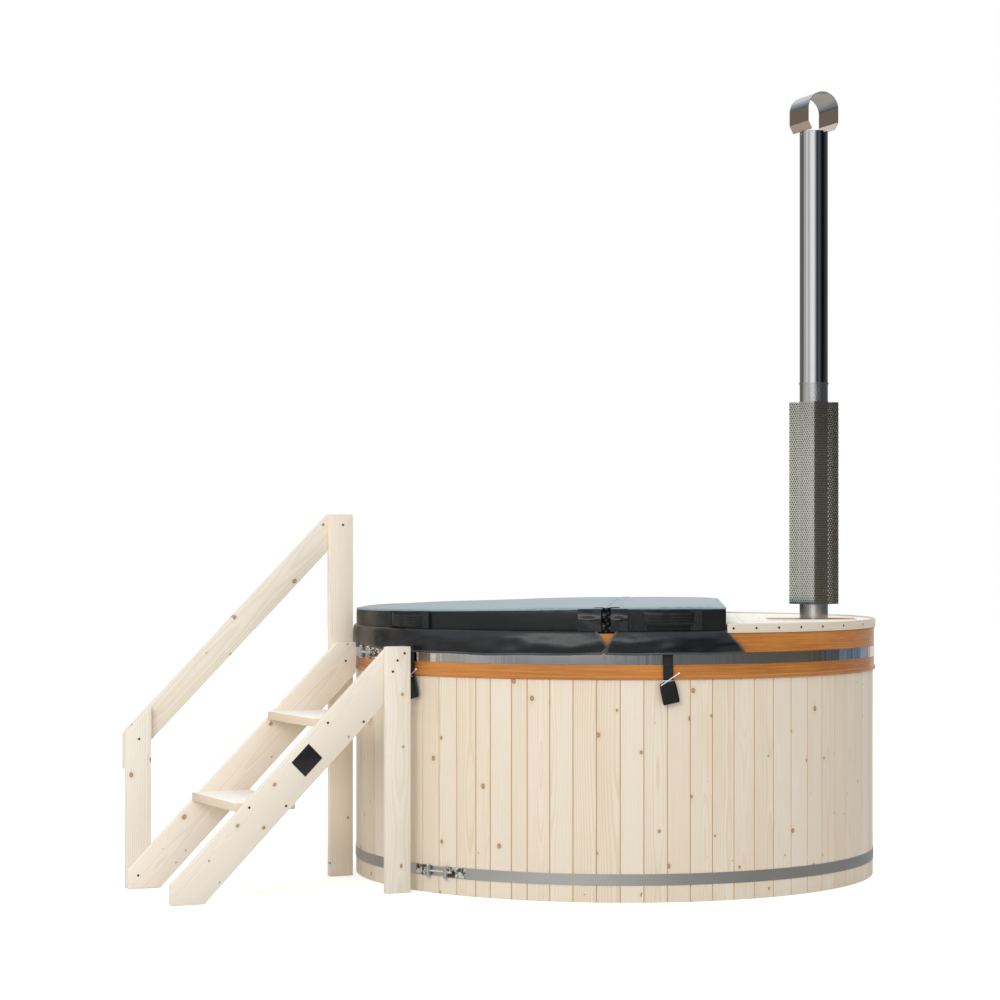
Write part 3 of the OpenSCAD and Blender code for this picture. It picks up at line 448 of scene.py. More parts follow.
joist_pitch = 0.3888
joist_rows = laid((0, -2.5 * joist_pitch, 0.05), (1, 0, 0), (0, 0, 1), 0.0, joist_pitch, 300)
sawn = spruce_finish("sawn joists", joist_rows, pale=(0.74, 0.64, 0.50, 1), knots=1.4)
eased_copy("base_joists", "tub", "base_spruce", sawn, edge=0.003)
panel_face = laid((0, 0, 0.1), (1, 0, 0), (0, 0, 1), number=311)
panel_ply = spruce_finish("floor plywood", panel_face, pale=(0.70, 0.57, 0.40, 1), knots=1.6)
coat_nodes(panel_ply, "floor_panel")

# ---- Wall boards -----------------------------------------------------------
# The tub's wall: planed spruce boards with tongue, slot and V grooves, put up
# side by side and closed with two narrower ones. One is bored for the drain.
seam_bearing = -106.3
board_turn = 4.772
full_boards = 73
first_closer = 351.794
second_closer = 356.563
round_tub, given = group(
    "Round the tub",
    {"Vector": "Vector", "Start": "Float"},
    {"Radius": "Float", "Turn": "Float", "Up": "Float"},
)
tub_x, tub_y, tub_z = axes(given["Vector"])
tub_radius = length_of(joined(tub_x, tub_y, 0.0))
tub_angle = maths("DEGREES", maths("ARCTAN2", tub_y, tub_x))
tub_turn = maths("FLOORED_MODULO", minus(tub_angle, given["Start"]), 360.0)
put(round_tub, "NodeGroupOutput", {"Radius": tub_radius, "Turn": tub_turn, "Up": tub_z})


def polar(tree, start):
    """Radius, degrees from a start, and height of a point of the tub."""
    return use(tree, round_tub, Vector=place_in(tree), Start=start)


def stood_round(tree):
    """The frame of an upright wall board, and its number round the tub."""
    at = polar(tree, seam_bearing)
    share = maths("DIVIDE", at["Turn"], board_turn)
    whole = maths("FLOOR", maths("MINIMUM", share, full_boards))
    after = maths("GREATER_THAN", at["Turn"], first_closer)
    last = maths("GREATER_THAN", at["Turn"], second_closer)
    number = times_plus(plus(after, last), 10.0, whole)
    off = minus(minus(share, whole), 0.5)
    x = times(off, radians(board_turn))
    y = minus(1.0, at["Radius"])
    return joined(x, y, at["Up"]), number


wall_finish = spruce_finish("wall spruce", stood_round, knots=1.0)
# Painted shade: the V grooves between the boards are tinted darker and browner than their faces.
wall_radius = polar(wall_finish.node_tree, seam_bearing)["Radius"]
groove_painted_shade = times(minus(1.0, fade(wall_radius, 0.9985, 1.0)), maths("GREATER_THAN", wall_radius, 0.99))
overpaint(wall_finish, times(groove_painted_shade, 0.75), (0.55, 0.34, 0.15, 1))
coat_nodes(wall_finish, "wall_staves", "drain_board", "closing_staves")

# ---- Insulation ------------------------------------------------------------
# Slabs of rigid foam under the liner and between liner and boards. They are
# cut to size and never seen once the tub is closed.


def mottled(name, dark, light, scale, detail=2.0, rough=None, bump=None, **constants):
    """A finish whose tone drifts with a noise, and with it, where given, its
    roughness, as how much and from what, and its bump, as strength and depth."""
    finish, tree, coat = new_finish(name, **constants)
    cloud = grainy(place_in(tree), (scale, scale, scale), detail)
    feed(coat, {"Base Color": tint(cloud, dark, light)})
    if rough:
        feed(coat, {"Roughness": times_plus(cloud, *rough)})
    if bump:
        emboss(coat, cloud, *bump)
    return finish


foam_tones = ((0.80, 0.72, 0.47, 1), (0.88, 0.82, 0.60, 1))
foam_finish = mottled("rigid foam", *foam_tones, 240.0, 3.0, bump=(0.4, 0.001), Roughness=0.9)
coat_nodes(foam_finish, "floor_foam", "wall_foam")

# ---- Liner -----------------------------------------------------------------
# One moulding of orange-brown marbled plastic: the pot, the rim over the
# boards, and the collar outside them with its bead.
liner_finish, liner_tree, liner_coat = new_finish("marbled liner", IOR=1.49)
liner_at = polar(liner_tree, 0.0)
liner_wrap = joined(times(liner_at["Turn"], 0.05), liner_at["Radius"], liner_at["Up"])
cloud = grainy(place_in(liner_tree), (2.6, 2.6, 9.0), 4.0)
vein = grainy(liner_wrap, (1.6, 30.0, 170.0), 3.0)
marble = fade(times_plus(vein, 0.45, times(cloud, 0.55)), 0.32, 0.68)
liner_colour = tint(marble, (0.370, 0.127, 0.0215, 1), (0.575, 0.228, 0.048, 1))
feed(liner_coat, {"Base Color": liner_colour, "Roughness": times_plus(vein, 0.14, 0.19)})
emboss(liner_coat, plus(cloud, vein), 0.25, 0.0012)
coat_nodes(liner_finish, "tub_liner")

# ---- Steel bands and their clamps ------------------------------------------
# Two stainless strips, the upper one bright and the lower one satin. Their
# ends are rolled round trunnions, and a bolt through these pulls them tight.
brushed, given = group(
    "Brushed steel",
    {"Vector": "Vector", "Even": "Float", "Spread": "Float"},
    {"Roughness": "Float", "Height": "Float", "Shade": "Float"},
)
scratch = grainy(given["Vector"], (1100.0, 1100.0, 3.0), 2.0)
smear = grainy(given["Vector"], (9.0, 9.0, 5.0), 3.0)
uneven = minus(times_plus(smear, 0.6, scratch), 0.8)
steel_rough = times_plus(uneven, given["Spread"], given["Even"])
steel_shade = times_plus(smear, 0.16, 0.92)
put(brushed, "NodeGroupOutput", {"Roughness": steel_rough, "Height": scratch, "Shade": steel_shade})


def unrolled(tree):
    """Radius, height and length round the tub, so that Z runs along a band."""
    at = polar(tree, 0.0)
    return joined(at["Radius"], at["Up"], maths("RADIANS", at["Turn"]))


def steel_finish(name, colour, even, spread, along_tub=False, relief=0.12):
    """Stainless steel. Its fine lines run round the tub, or else along Z."""
    finish, tree, coat = new_finish(name, Metallic=1.0)
    vector = unrolled(tree) if along_tub else place_in(tree)
    lines = use(tree, brushed, Vector=vector, Even=even, Spread=spread)
    shade = put(tree, "CombineColor", {n: lines["Shade"] for n in range(3)}).outputs[0]
    feed(coat, {"Base Color": tint(1.0, colour, shade, "MULTIPLY"), "Roughness": lines["Roughness"]})
    emboss(coat, lines["Height"], relief, 0.0001)
    return finish


bright_band = steel_finish("bright band", (0.68, 0.68, 0.67, 1), 0.09, 0.05, along_tub=True, relief=0.03)
satin_band = steel_finish("satin band", (0.58, 0.575, 0.55, 1), 0.46, 0.12, along_tub=True)
turned_steel = steel_finish("turned steel", (0.78, 0.78, 0.76, 1), 0.18, 0.10)
# The bright strip is not quite flat, so what it mirrors wavers.
band_wave = grainy(unrolled(bright_band.node_tree), (0.0, 0.0, 34.0))
band_bump = next(node for node in bright_band.node_tree.nodes if node.type == "BUMP")
wavy = put(bright_band.node_tree, "Bump", {"Height": band_wave, "Strength": 1.0, "Distance": 0.0022})
feed(band_bump, {"Normal": wavy.outputs[0]})
coat_nodes(bright_band, "upper_band")
coat_nodes(satin_band, "lower_band")
for node in ("clamp_trunnions", "clamp_bolts", "clamp_nuts"):
    eased_copy(node, "tub", "clamp_steel", turned_steel, edge=0.0006)


def around(radius, turn, z):
    """A point at a radius from the tub's axis, an angle round it and a height."""
    return Vector((radius * cos(turn), radius * sin(turn), z))


def from_axis(point):
    """Outwards from the tub's axis."""
    return Vector((point.x, point.y, 0)).normalized()


def shaped_grid(name, columns, rows, place, finish, thick=0.0, outward=from_axis, offset=1.0, smooth=50):
    """A flat grid moved into shape point by point and given its thickness. With
    no outward side it is closed, and its edges are merged."""
    bpy.ops.object.select_all(action="DESELECT")
    bpy.ops.mesh.primitive_grid_add(x_subdivisions=columns, y_subdivisions=rows, size=1)
    piece = bpy.context.object
    piece.name = name
    for vertex in piece.data.vertices:
        vertex.co = place(vertex.co.x + 0.5, vertex.co.y + 0.5)
    if outward is None:
        edit(remove_doubles={"threshold": 0.00002}, normals_make_consistent={"inside": False})
    elif sum(face.normal.dot(outward(face.center)) * face.area for face in piece.data.polygons) < 0:
        piece.data.flip_normals()
    if thick:
        finish_modifier(piece, "SOLIDIFY", thickness=thick, offset=offset)
    coat_all(piece, finish)
    if smooth:
        pick(piece)
        bpy.ops.object.shade_smooth_by_angle(angle=radians(smooth))
    return piece


# The ends of each band are folded back beside the clamp and spot-welded: a
# second layer of strip, crumpled where it was bent. Its dark patches are painted
# shade in the hollows of the crumples.
crumpled, crumpled_tree, crumpled_coat = new_finish("crumpled strip, painted shade", Metallic=1.0, Roughness=0.12)
crumple = grainy(place_in(crumpled_tree), (75.0, 75.0, 60.0), 3.0)
# Painted shade: the crumples' low parts are coloured near black, the rest pale steel.
crumple_painted_shade = tint(fade(crumple, 0.42, 0.56), (0.10, 0.09, 0.08, 1), (0.95, 0.94, 0.90, 1))
feed(crumpled_coat, {"Base Color": crumple_painted_shade})
emboss(crumpled_coat, crumple, 0.8, 0.004)
band_height = 0.040
tongue_turn = 6.0
for name, slot, bearing, low_z, radius, finish in (
    ("low", "lower_band_steel", -127.6, 0.060, 1.0018, satin_band),
    ("high", "upper_band_steel", -155.5, 0.834, 1.0068, bright_band),
):
    for end, start, length in (("a", -6.6, 3.9), ("b", 2.4, 4.9)):

        def lap_place(u, v):
            dent = sin(31 * u + 9 * v + start) * sin(13 * v - 17 * u) + 0.6 * sin(47 * u - 23 * v)
            flat = min(1.0, 8 * u, 8 * (1 - u), 8 * v, 8 * (1 - v))
            out = radius + 0.0016 * flat * (1 + 0.75 * dent)
            height = low_z + 0.001 + (band_height - 0.002) * v
            return around(out, radians(bearing + start + length * u), height)

        lap_name = "band_lap_%s_%s" % (name, end)
        lap = shaped_grid(lap_name, 36, 16, lap_place, crumpled, thick=0.0008, offset=-1.0, smooth=40)
        settle(lap, "tub", slot)

    # A tongue of the same strip bridges the gap under the clamp bolt.
    def tongue_place(u, v):
        height = low_z + band_height * (0.5 + 0.88 * (v - 0.5))
        return around(radius - 0.0005, radians(bearing + tongue_turn * (u - 0.5)), height)

    tongue_name = "band_tongue_%s" % name
    tongue = shaped_grid(tongue_name, 12, 2, tongue_place, finish, thick=0.0006, offset=-1.0, smooth=None)
    settle(tongue, "tub", slot)

# ---- Bench and partition ---------------------------------------------------
# A round bench of three rings of slats on upright brackets, and a fence of
# boards that keeps bathers off the stove. All of it is planed spruce.
bench_inside = 0.5787
bench_pitch = 0.110


def bent_round(tree):
    """The frame of a bench slat that runs round the tub."""
    rows = use(tree, side_by_side, Vector=unrolled(tree), Start=bench_inside, Pitch=bench_pitch)
    return rows["Vector"], plus(rows["Board"], 320.0)


bench_finish = spruce_finish("bench spruce", bent_round, knots=1.1)
eased_copy("bench_slats", "tub", "bench_spruce", bench_finish, edge=0.003, angle=50)
bracket_finish = spruce_finish("bracket spruce", laid((0, 0, 0.3), (0, 0, 1), (1, 0, 0), number=331))
eased_copy("bench_brackets", "tub", "bench_spruce", bracket_finish)
fence_boards = laid((0.398, -0.05, 0.5), (0, 0, 1), (-1, 0, 0), 0.0, 0.1, 340)
fence_finish = spruce_finish("partition spruce", fence_boards)
eased_copy("partition_boards", "tub", "bench_spruce", fence_finish)
rail_finish = spruce_finish("partition rail spruce", laid((0.418, 0, 0.5), (0, 1, 0), (1, 0, 0), number=361))
eased_copy("partition_rails", "tub", "bench_spruce", rail_finish)

# ---- Stove -----------------------------------------------------------------
# A welded box of marine aluminium that stands in the water behind the
# partition. Its hatch lifts out by a black handle, and the flue is on top.
alloy_finish, alloy_tree, alloy_coat = new_finish("welded aluminium", Metallic=1.0)
alloy_place = place_in(alloy_tree)
alloy_cloud = grainy(alloy_place, (6.0, 6.0, 6.0), 4.0)
alloy_lines = grainy(alloy_place, (500.0, 4.0, 500.0))
alloy_colour = tint(alloy_cloud, (0.50, 0.51, 0.52, 1), (0.66, 0.67, 0.68, 1))
feed(alloy_coat, {"Base Color": alloy_colour, "Roughness": times_plus(alloy_lines, 0.2, 0.34)})
emboss(alloy_coat, alloy_lines, 0.15, 0.0002)
eased_copy("stove_body", "tub", "stove_metal", alloy_finish, edge=0.0015)
coat_nodes(alloy_finish, "flue_collar")
eased_copy("stove_hatch", "stove_hatch", "stove_metal", alloy_finish, edge=0.0012)
handle_finish, handle_tree, handle_coat = new_finish("heat-proof paint", Base_Color=(0.02, 0.02, 0.02, 1))
handle_cloud = grainy(place_in(handle_tree), (300.0, 300.0, 300.0))
feed(handle_coat, {"Roughness": times_plus(handle_cloud, 0.2, 0.4)})
eased_copy("hatch_handle", "stove_hatch", "stove_handle", handle_finish, edge=0.003, rounds=3)

# ---- Chimney ---------------------------------------------------------------
# Two stainless flue pipes, the upper slipped over the lower at a rolled bead,
# and a cap bent from one strip into an arch, riveted inside the pipe's end.
pipe_finish = steel_finish("flue pipe", (0.66, 0.66, 0.65, 1), 0.07, 0.04, relief=0.02)
satin_pipe = steel_finish("satin flue pipe", (0.58, 0.58, 0.56, 1), 0.24, 0.10, relief=0.05)
coat_nodes(satin_pipe, "chimney_lower")
coat_nodes(pipe_finish, "chimney_upper")
cap_finish = steel_finish("cap strip", (0.80, 0.80, 0.79, 1), 0.15, 0.10, relief=0.20)
# Painted reflection: the cap's colour is tinted straw brown on its flanks, with a
# blue streak below its crown and warm grey at the top, for what it mirrors.
cap_place = place_in(cap_finish.node_tree)
cap_streak = times_plus(grainy(cap_place, (14.0, 6.0, 60.0), 3.0), 0.05, axes(cap_place)[2])
cap_flank_reflection = tint(fade(cap_streak, 2.962, 2.974), (0.95, 0.74, 0.60, 1), (0.42, 0.52, 0.64, 1))
cap_painted_reflection = tint(fade(cap_streak, 2.986, 3.000), cap_flank_reflection, (0.80, 0.75, 0.68, 1))
overpaint(cap_finish, 1.0, cap_painted_reflection, "MULTIPLY")
coat_nodes(cap_finish, "chimney_cap", "cap_rivets")

# ---- Heat guard ------------------------------------------------------------
# A square sleeve of perforated stainless sheet, folded up round the lower
# pipe and held off it by eight pins.
flue_x = 0.77617
guard_side = 0.135
guard_sheet = 0.0015
guard_low = 1.028
guard_high = 1.809
guard_turn = radians(44)
hole_pitch = 0.0116
hole_radius = 0.0035
row_rise = 0.0090
guard_finish = steel_finish("perforated sheet", (0.88, 0.88, 0.83, 1), 0.12, 0.05, relief=0.03)
# Painted shade: near-black steel for the sheet's inner faces and the walls of its holes.
guard_painted_shade = steel_finish("sheet with painted shade", (0.035, 0.032, 0.027, 1), 0.50, 0.12, relief=0.05)
# One hexagon of sheet with its hole, and its neighbour, make the whole pattern.
bpy.ops.object.select_all(action="DESELECT")
bpy.ops.mesh.primitive_circle_add(vertices=12, radius=hole_pitch / 2, location=(0, 0, 0))
sheet = bpy.context.object
sheet.name = "guard_sheet_1"
for number, vertex in enumerate(sheet.data.vertices):
    if number % 2:
        vertex.co *= 2 / math.sqrt(3)
    vertex.co.y *= row_rise / (hole_pitch * math.sqrt(3) / 2)
pick(sheet)
edit(duplicate={})
for vertex in sheet.data.vertices:
    if vertex.select:
        vertex.co = vertex.co.normalized() * hole_radius
one_along = {"TRANSFORM_OT_translate": {"value": (hole_pitch / 2, row_rise, 0)}}
edit(bridge_edge_loops={}, duplicate_move=one_along)
across_count = math.ceil(guard_side / hole_pitch) + 2
upward_count = math.ceil((guard_high - guard_low) / (2 * row_rise)) + 2
by_steps = {"use_relative_offset": False, "use_constant_offset": True}
for step, count in (((hole_pitch, 0, 0), across_count), ((0, 2 * row_rise, 0), upward_count)):
    finish_modifier(sheet, "ARRAY", **by_steps, constant_offset_displace=step, count=count)
edit(remove_doubles={"threshold": 0.00005})
for point, normal in (
    ((hole_pitch, 0, 0), (-1, 0, 0)),
    ((hole_pitch + guard_side - guard_sheet, 0, 0), (1, 0, 0)),
    ((0, hole_pitch, 0), (0, -1, 0)),
    ((0, hole_pitch + guard_high - guard_low, 0), (0, 1, 0)),
):
    edit(bisect={"plane_co": point, "plane_no": normal, "clear_outer": True})
edit(normals_make_consistent={"inside": False})
if sheet.data.polygons[0].normal.z < 0:
    sheet.data.flip_normals()
for vertex in sheet.data.vertices:
    along = vertex.co.x - hole_pitch
    up = vertex.co.y - hole_pitch
    vertex.co = (along - guard_side / 2, -guard_side / 2, guard_low + up)
coat_all(sheet, guard_finish)
# The inner side and the holes' walls take the painted shade.
sheet.data.materials.append(guard_painted_shade)
inner_side = {"material_offset": 1, "material_offset_rim": 1}
finish_modifier(sheet, "SOLIDIFY", thickness=guard_sheet, offset=-1.0, **inner_side)
sheets = [sheet]
for number in (2, 3, 4):
    side = bpy.data.objects.new("guard_sheet_%d" % number, sheet.data.copy())
    bpy.context.collection.objects.link(side)
    sheets.append(side)
for quarter, side in enumerate(sheets):
    turn = guard_turn + radians(90) * quarter
    side.data.transform(Matrix.Translation((flue_x, 0, 0)) @ Matrix.Rotation(turn, 4, "Z"))
    settle(side, "tub", "guard_steel", "heat_guard")
coat_nodes(turned_steel, "guard_standoffs")

# ---- Drain -----------------------------------------------------------------
# A stainless pipe through one wall board: flange and strainer inside, a nut
# outside, then a ball valve with a red lever and the spigot for a hose.
for node in ("drain_fitting", "drain_strainer", "drain_valve", "hose_spigot"):
    eased_copy(node, "tub", "drain_steel", turned_steel, edge=0.0006)
eased_copy("drain_locknut", "tub", "drain_steel", turned_steel, edge=0.001)
coat_nodes(turned_steel, "drain_ball")
red_tones = ((0.42, 0.02, 0.015, 1), (0.50, 0.04, 0.03, 1))
lever_finish = mottled("red dipped lever", *red_tones, 60.0, Roughness=0.35)
eased_copy("drain_lever", "drain_lever", "lever_paint", lever_finish, edge=0.0015)

# ---- Lid over the stove ----------------------------------------------------
# Eight boards side by side with the mouth for the flue cut out, battens under
# them, and a thin strip bent round the edge and held with dark screws.
lid_rows = laid((0.405, 0, 0.957), (0, -1, 0), (0, 0, 1), 0.0, 0.082, 400)
lid_tones = ((0.945, 0.930, 0.885, 1), (0.850, 0.760, 0.625, 1))
lid_finish = spruce_finish("lid spruce", lid_rows, *lid_tones, knots=0.9)
# The sawn edges of the mouth are darker than the boards' faces.
mouth_middle = 0.7647
mouth_half_long = 0.172
mouth_half_wide = 0.1262
lid_x, lid_y, _ = axes(place_in(lid_finish.node_tree))
in_mouth_x = maths("COMPARE", lid_x, mouth_middle, mouth_half_long)
in_mouth_y = maths("COMPARE", lid_y, 0.0, mouth_half_wide)
overpaint(lid_finish, times(in_mouth_x, in_mouth_y), (0.86, 0.56, 0.30, 1))
eased_copy("lid_boards", "heater_lid", "lid_spruce", lid_finish, edge=0.0015)


def bent_strip(tree):
    """The frame of the strip round the lid's edge."""
    at = polar(tree, 180.0)
    return joined(at["Up"], at["Radius"], maths("RADIANS", at["Turn"])), 417.0


rim_finish = spruce_finish("lid rim spruce", bent_strip, pale=(0.71, 0.655, 0.565, 1), knots=0.5)
eased_copy("lid_rim", "heater_lid", "lid_spruce", rim_finish, edge=0.002, angle=50)
batten_finish = spruce_finish("lid batten spruce", laid((0, 0, 0.93), (1, 0, 0), (0, 0, 1), number=431))
eased_copy("lid_battens", "heater_lid", "lid_spruce", batten_finish)

# ---- Steps -----------------------------------------------------------------
# Two sloping side boards with treads between them, posts, and a handrail at
# the back. Planed spruce boards, screwed together through their faces.
step_turn = radians(29.4)
upright = Vector((0, 0, 1))
step_along = Vector((cos(step_turn), sin(step_turn), 0.0))
step_across = Vector((-sin(step_turn), cos(step_turn), 0.0))
uphill = (step_along + upright).normalized()
pale_tread_tones = ((0.945, 0.925, 0.880, 1), (0.850, 0.770, 0.650, 1))
planed = ((0.830, 0.780, 0.690, 1), (0.695, 0.560, 0.390, 1))
# Painted warm shade: the rear side board and the rear post, which stand in shadow, get deeper and warmer
# tones than the other boards.
golden_painted_shade = ((0.890, 0.820, 0.720, 1), (0.750, 0.590, 0.410, 1))
step_boards = (
    ("front_stringer", uphill, -step_across, 1.0, planed),
    ("rear_stringer", uphill, -step_across, 1.2, golden_painted_shade),
    ("front_post", upright, -step_across, 0.9, planed),
    ("rear_post", upright, -step_across, 1.0, golden_painted_shade),
    ("low_post", upright, -step_across, 1.0, planed),
    ("handrail", uphill, -step_across, 1.0, planed),
    ("lower_tread", step_across, upright, 0.8, pale_tread_tones),
    ("upper_tread", step_across, upright, 0.8, pale_tread_tones),
)
for number, (node, along, face, knots, tones) in enumerate(step_boards):
    low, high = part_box(node)
    board = laid((Vector(low) + Vector(high)) / 2, along, face, number=451 + 3 * number)
    board_finish = spruce_finish("step spruce %d" % (number + 1), board, *tones, knots=knots)
    if tones is pale_tread_tones:
        # Only the tops of the treads keep the pale tones; every other face of them is made darker and warmer.
        up = axes(place_in(board_finish.node_tree))[2]
        on_top = fade(up, high[2] - 0.0022, high[2] - 0.0006)
        overpaint(board_finish, 1.0, tint(on_top, (0.80, 0.69, 0.55, 1), (1, 1, 1, 1)), "MULTIPLY")
    eased_copy(node, "tub", "stair_spruce", board_finish, edge=0.0025)

# ---- Screws ----------------------------------------------------------------
# Dark countersunk steel screws, driven flush through the faces of the steps'
# boards and through the strip round the lid's edge.
dark_tones = ((0.06, 0.05, 0.04, 1), (0.16, 0.14, 0.12, 1))
screw_finish = mottled("dark screws", *dark_tones, 400.0, rough=(0.2, 0.3), Metallic=1.0)
coat_nodes(screw_finish, "stair_screws", "lid_screws")

# ---- Plate -----------------------------------------------------------------
# A small plate of black plastic with rounded edges, glued on the front side
# board. It is left bare.
black_tones = ((0.010, 0.010, 0.011, 1), (0.022, 0.022, 0.023, 1))
plate_finish = mottled("black plate", *black_tones, 90.0, 3.0, rough=(0.15, 0.16), IOR=1.49)
eased_copy("label_plate", "tub", "plate_plastic", plate_finish, edge=0.0008, rounds=3)

# ---- Cover halves ----------------------------------------------------------
# Two foam slabs sewn into vinyl, pale grey on top and black at the sides. The
# top's bluish pale tone is partly its own colour and partly painted sky
# reflection. A welt runs round the top and the bottom seam of each half.
cover_rim = 0.998
cover_low = 0.9433
fold_top = 1.0343
left_top = 1.0143
fold_half = 0.015
chord_x = 0.420
seam_width = 0.013
slab_voxel = 0.012
air_pressure = 4
swell_limit = 0.004

vinyl_grain, given = group(
    "Vinyl grain",
    {"Vector": "Vector", "Even": "Float"},
    {"Roughness": "Float", "Height": "Float", "Wear": "Float"},
)
pores = put(vinyl_grain, "TexVoronoi", {"Vector": given["Vector"], "Scale": 620.0}).outputs["Distance"]
creases = grainy(given["Vector"], (26.0, 26.0, 60.0), 4.0)
worn = grainy(given["Vector"], (5.0, 5.0, 9.0), 3.0)
vinyl_rough = times_plus(worn, 0.16, plus(given["Even"], -0.08))
vinyl_height = times_plus(creases, 1.6, times(pores, 0.30))
put(vinyl_grain, "NodeGroupOutput", {"Roughness": vinyl_rough, "Height": vinyl_height, "Wear": worn})


def vinyl_finish(name, dark, light, even, sheen, weave=0.0):
    """Coated fabric with a fine grain and soft creases. A weave shows through if it is thin."""
    finish, tree, coat = new_finish(name, Specular_IOR_Level=sheen)
    place = place_in(tree)
    grain = use(tree, vinyl_grain, Vector=place, Even=even)
    colour = tint(grain["Wear"], dark, light)
    height = grain["Height"]
    if weave:
        at = axes(place)
        rows = [maths("SINE", times(at[n], 1400.0)) for n in range(2)]
        threads = times_plus(times(*rows), 0.5, 0.5)
        flecks = plus(threads, grainy(place, (160.0, 60.0, 90.0), 3.0))
        colour = tint(times(flecks, weave), colour, tuple(0.5 * part for part in dark[:3]) + (1,))
        height = times_plus(grainy(place, (70.0, 34.0, 60.0), 4.0), 5.0, height)
    feed(coat, {"Base Color": colour, "Roughness": grain["Roughness"]})
    emboss(coat, height, 0.45, 0.0008)
    return finish


black_vinyl = vinyl_finish("black vinyl", (0.005, 0.0055, 0.006, 1), (0.011, 0.0115, 0.0125, 1), 0.36, 0.36)
thin_tones = ((0.0035, 0.004, 0.0045, 1), (0.008, 0.009, 0.011, 1))
thin_vinyl = vinyl_finish("thin black vinyl", *thin_tones, 0.27, 0.52)
bound_vinyl = vinyl_finish("bound edge vinyl", (0.030, 0.033, 0.037, 1), (0.055, 0.060, 0.066, 1), 0.34, 0.60)
# Partly the top's own light grey, partly painted reflection of the sky, which makes it brighter and bluer.
pale_painted_sky_tones = ((0.25, 0.355, 0.405, 1), (0.325, 0.430, 0.475, 1))
pale_vinyl_painted_sky = vinyl_finish("pale grey vinyl, painted sky reflection", *pale_painted_sky_tones, 0.32, 0.36, weave=0.35)


def slope_top(x):
    """Height of the cover's top: level on the right half, falling to the left."""
    fall = (fold_top - left_top) / (cover_rim - fold_half)
    return fold_top + min(0.0, x + fold_half) * fall


def round_cord(name, path, length, radius, finish, sides=8, step=0.012):
    """A thin round cord along a path given from 0 to 1, closed at its ends."""
    columns = max(8, round(length / step))

    def place(u, v):
        here = path(u)
        ahead = (path(min(1.0, u + 0.002)) - path(max(0.0, u - 0.002))).normalized()
        out = from_axis(here)
        up = ahead.cross(out).normalized()
        out = up.cross(ahead)
        slim = 0.02 if u in (0.0, 1.0) else 1.0
        turn = 2 * pi * v
        return here + (out * cos(turn) + up * sin(turn)) * radius * slim

    return shaped_grid(name, columns, sides, place, finish, outward=None)


def padded_half(node, fold_x, far_x):
    """The CAD slab, swollen like a filled vinyl bag between its seams."""
    half = merged_copy(node, "_padded")
    half.data.remesh_voxel_size = slab_voxel
    bpy.ops.object.voxel_remesh()
    pin = half.vertex_groups.new(name="seams")
    held = []
    for vertex in half.data.vertices:
        x, y, z = vertex.co
        sides = (
            abs(z - slope_top(x)) < seam_width,
            z - cover_low < seam_width,
            math.hypot(x, y) > cover_rim - seam_width,
            abs(x - fold_x) < seam_width,
            far_x is not None and abs(x - far_x) < seam_width,
        )
        if sum(sides) > 1:
            held.append(vertex.index)
    pin.add(held, 1.0, "REPLACE")
    rest = [vertex.co.copy() for vertex in half.data.vertices]
    cloth = half.modifiers.new("cloth", "CLOTH")
    cloth.settings.use_pressure = True
    cloth.settings.uniform_pressure_force = air_pressure
    cloth.settings.vertex_group_mass = "seams"
    cloth.settings.effector_weights.gravity = 0
    cloth.settings.quality = 4
    for moment in range(1, 21):
        scene.frame_set(moment)
    pick(half)
    bpy.ops.object.modifier_apply(modifier=cloth.name)
    scene.frame_set(1)
    for vertex, start in zip(half.data.vertices, rest):
        move = vertex.co - start
        if move.length > swell_limit:
            move *= swell_limit / move.length
        vertex.co = start + move
        vertex.co.z = max(vertex.co.z, cover_low)
        if vertex.co.z > cover_low + 0.01:
            x, y, z = vertex.co
            vertex.co.z = z + 0.0013 * sin(9 * x + 4 * y) * sin(7 * y - 3 * x)
    finish_modifier(half, "SMOOTH", factor=0.5, iterations=3)
    half.vertex_groups.clear()
    coat_all(half, black_vinyl)
    half.data.materials.append(pale_vinyl_painted_sky)
    for face in half.data.polygons:
        face.material_index = int(face.normal.z > 0.75)
    pick(half)
    bpy.ops.object.shade_smooth()
    settle(half, node, "cover_vinyl", node)


padded_half("cover_left", -fold_half, None)
padded_half("cover_right", fold_half, chord_x)


def left_edge(u):
    """Once round the left half's outline: the arc, then back along the fold."""
    start = math.acos(-fold_half / cover_rim)
    arc = 0.62
    if u < arc:
        return around(cover_rim, start + 2 * (pi - start) * u / arc, 0)
    reach = cover_rim * sin(start)
    return Vector((-fold_half, -reach + 2 * reach * (u - arc) / (1 - arc), 0))


def right_edge(u):
    """Once round the right half's outline: arc, chord, arc, and the fold."""
    near = math.acos(fold_half / cover_rim)
    far = math.acos(chord_x / cover_rim)
    if u < 0.1:
        return around(cover_rim, -near + (near - far) * u / 0.1, 0)
    if u < 0.5:
        reach = cover_rim * sin(far)
        return Vector((chord_x, -reach + 2 * reach * (u - 0.1) / 0.4, 0))
    if u < 0.6:
        return around(cover_rim, far + (near - far) * (u - 0.5) / 0.1, 0)
    reach = cover_rim * sin(near)
    return Vector((fold_half, reach - 2 * reach * (u - 0.6) / 0.4, 0))


welt_radius = 0.0028
for name, edge, length in (("left", left_edge, 5.1), ("right", right_edge, 4.7)):
    for level, drop, skin in (("top", 0.004, pale_vinyl_painted_sky), ("low", None, black_vinyl)):

        def welt_path(u):
            point = edge(u)
            height = slope_top(point.x) - drop if drop is not None else cover_low + 0.005
            return Vector((point.x, point.y, height)) - from_axis(point) * 0.002

        welt = round_cord("cover_welt_%s_%s" % (name, level), welt_path, length, welt_radius, skin, sides=6)
        settle(welt, "cover_%s" % name, "cover_vinyl")

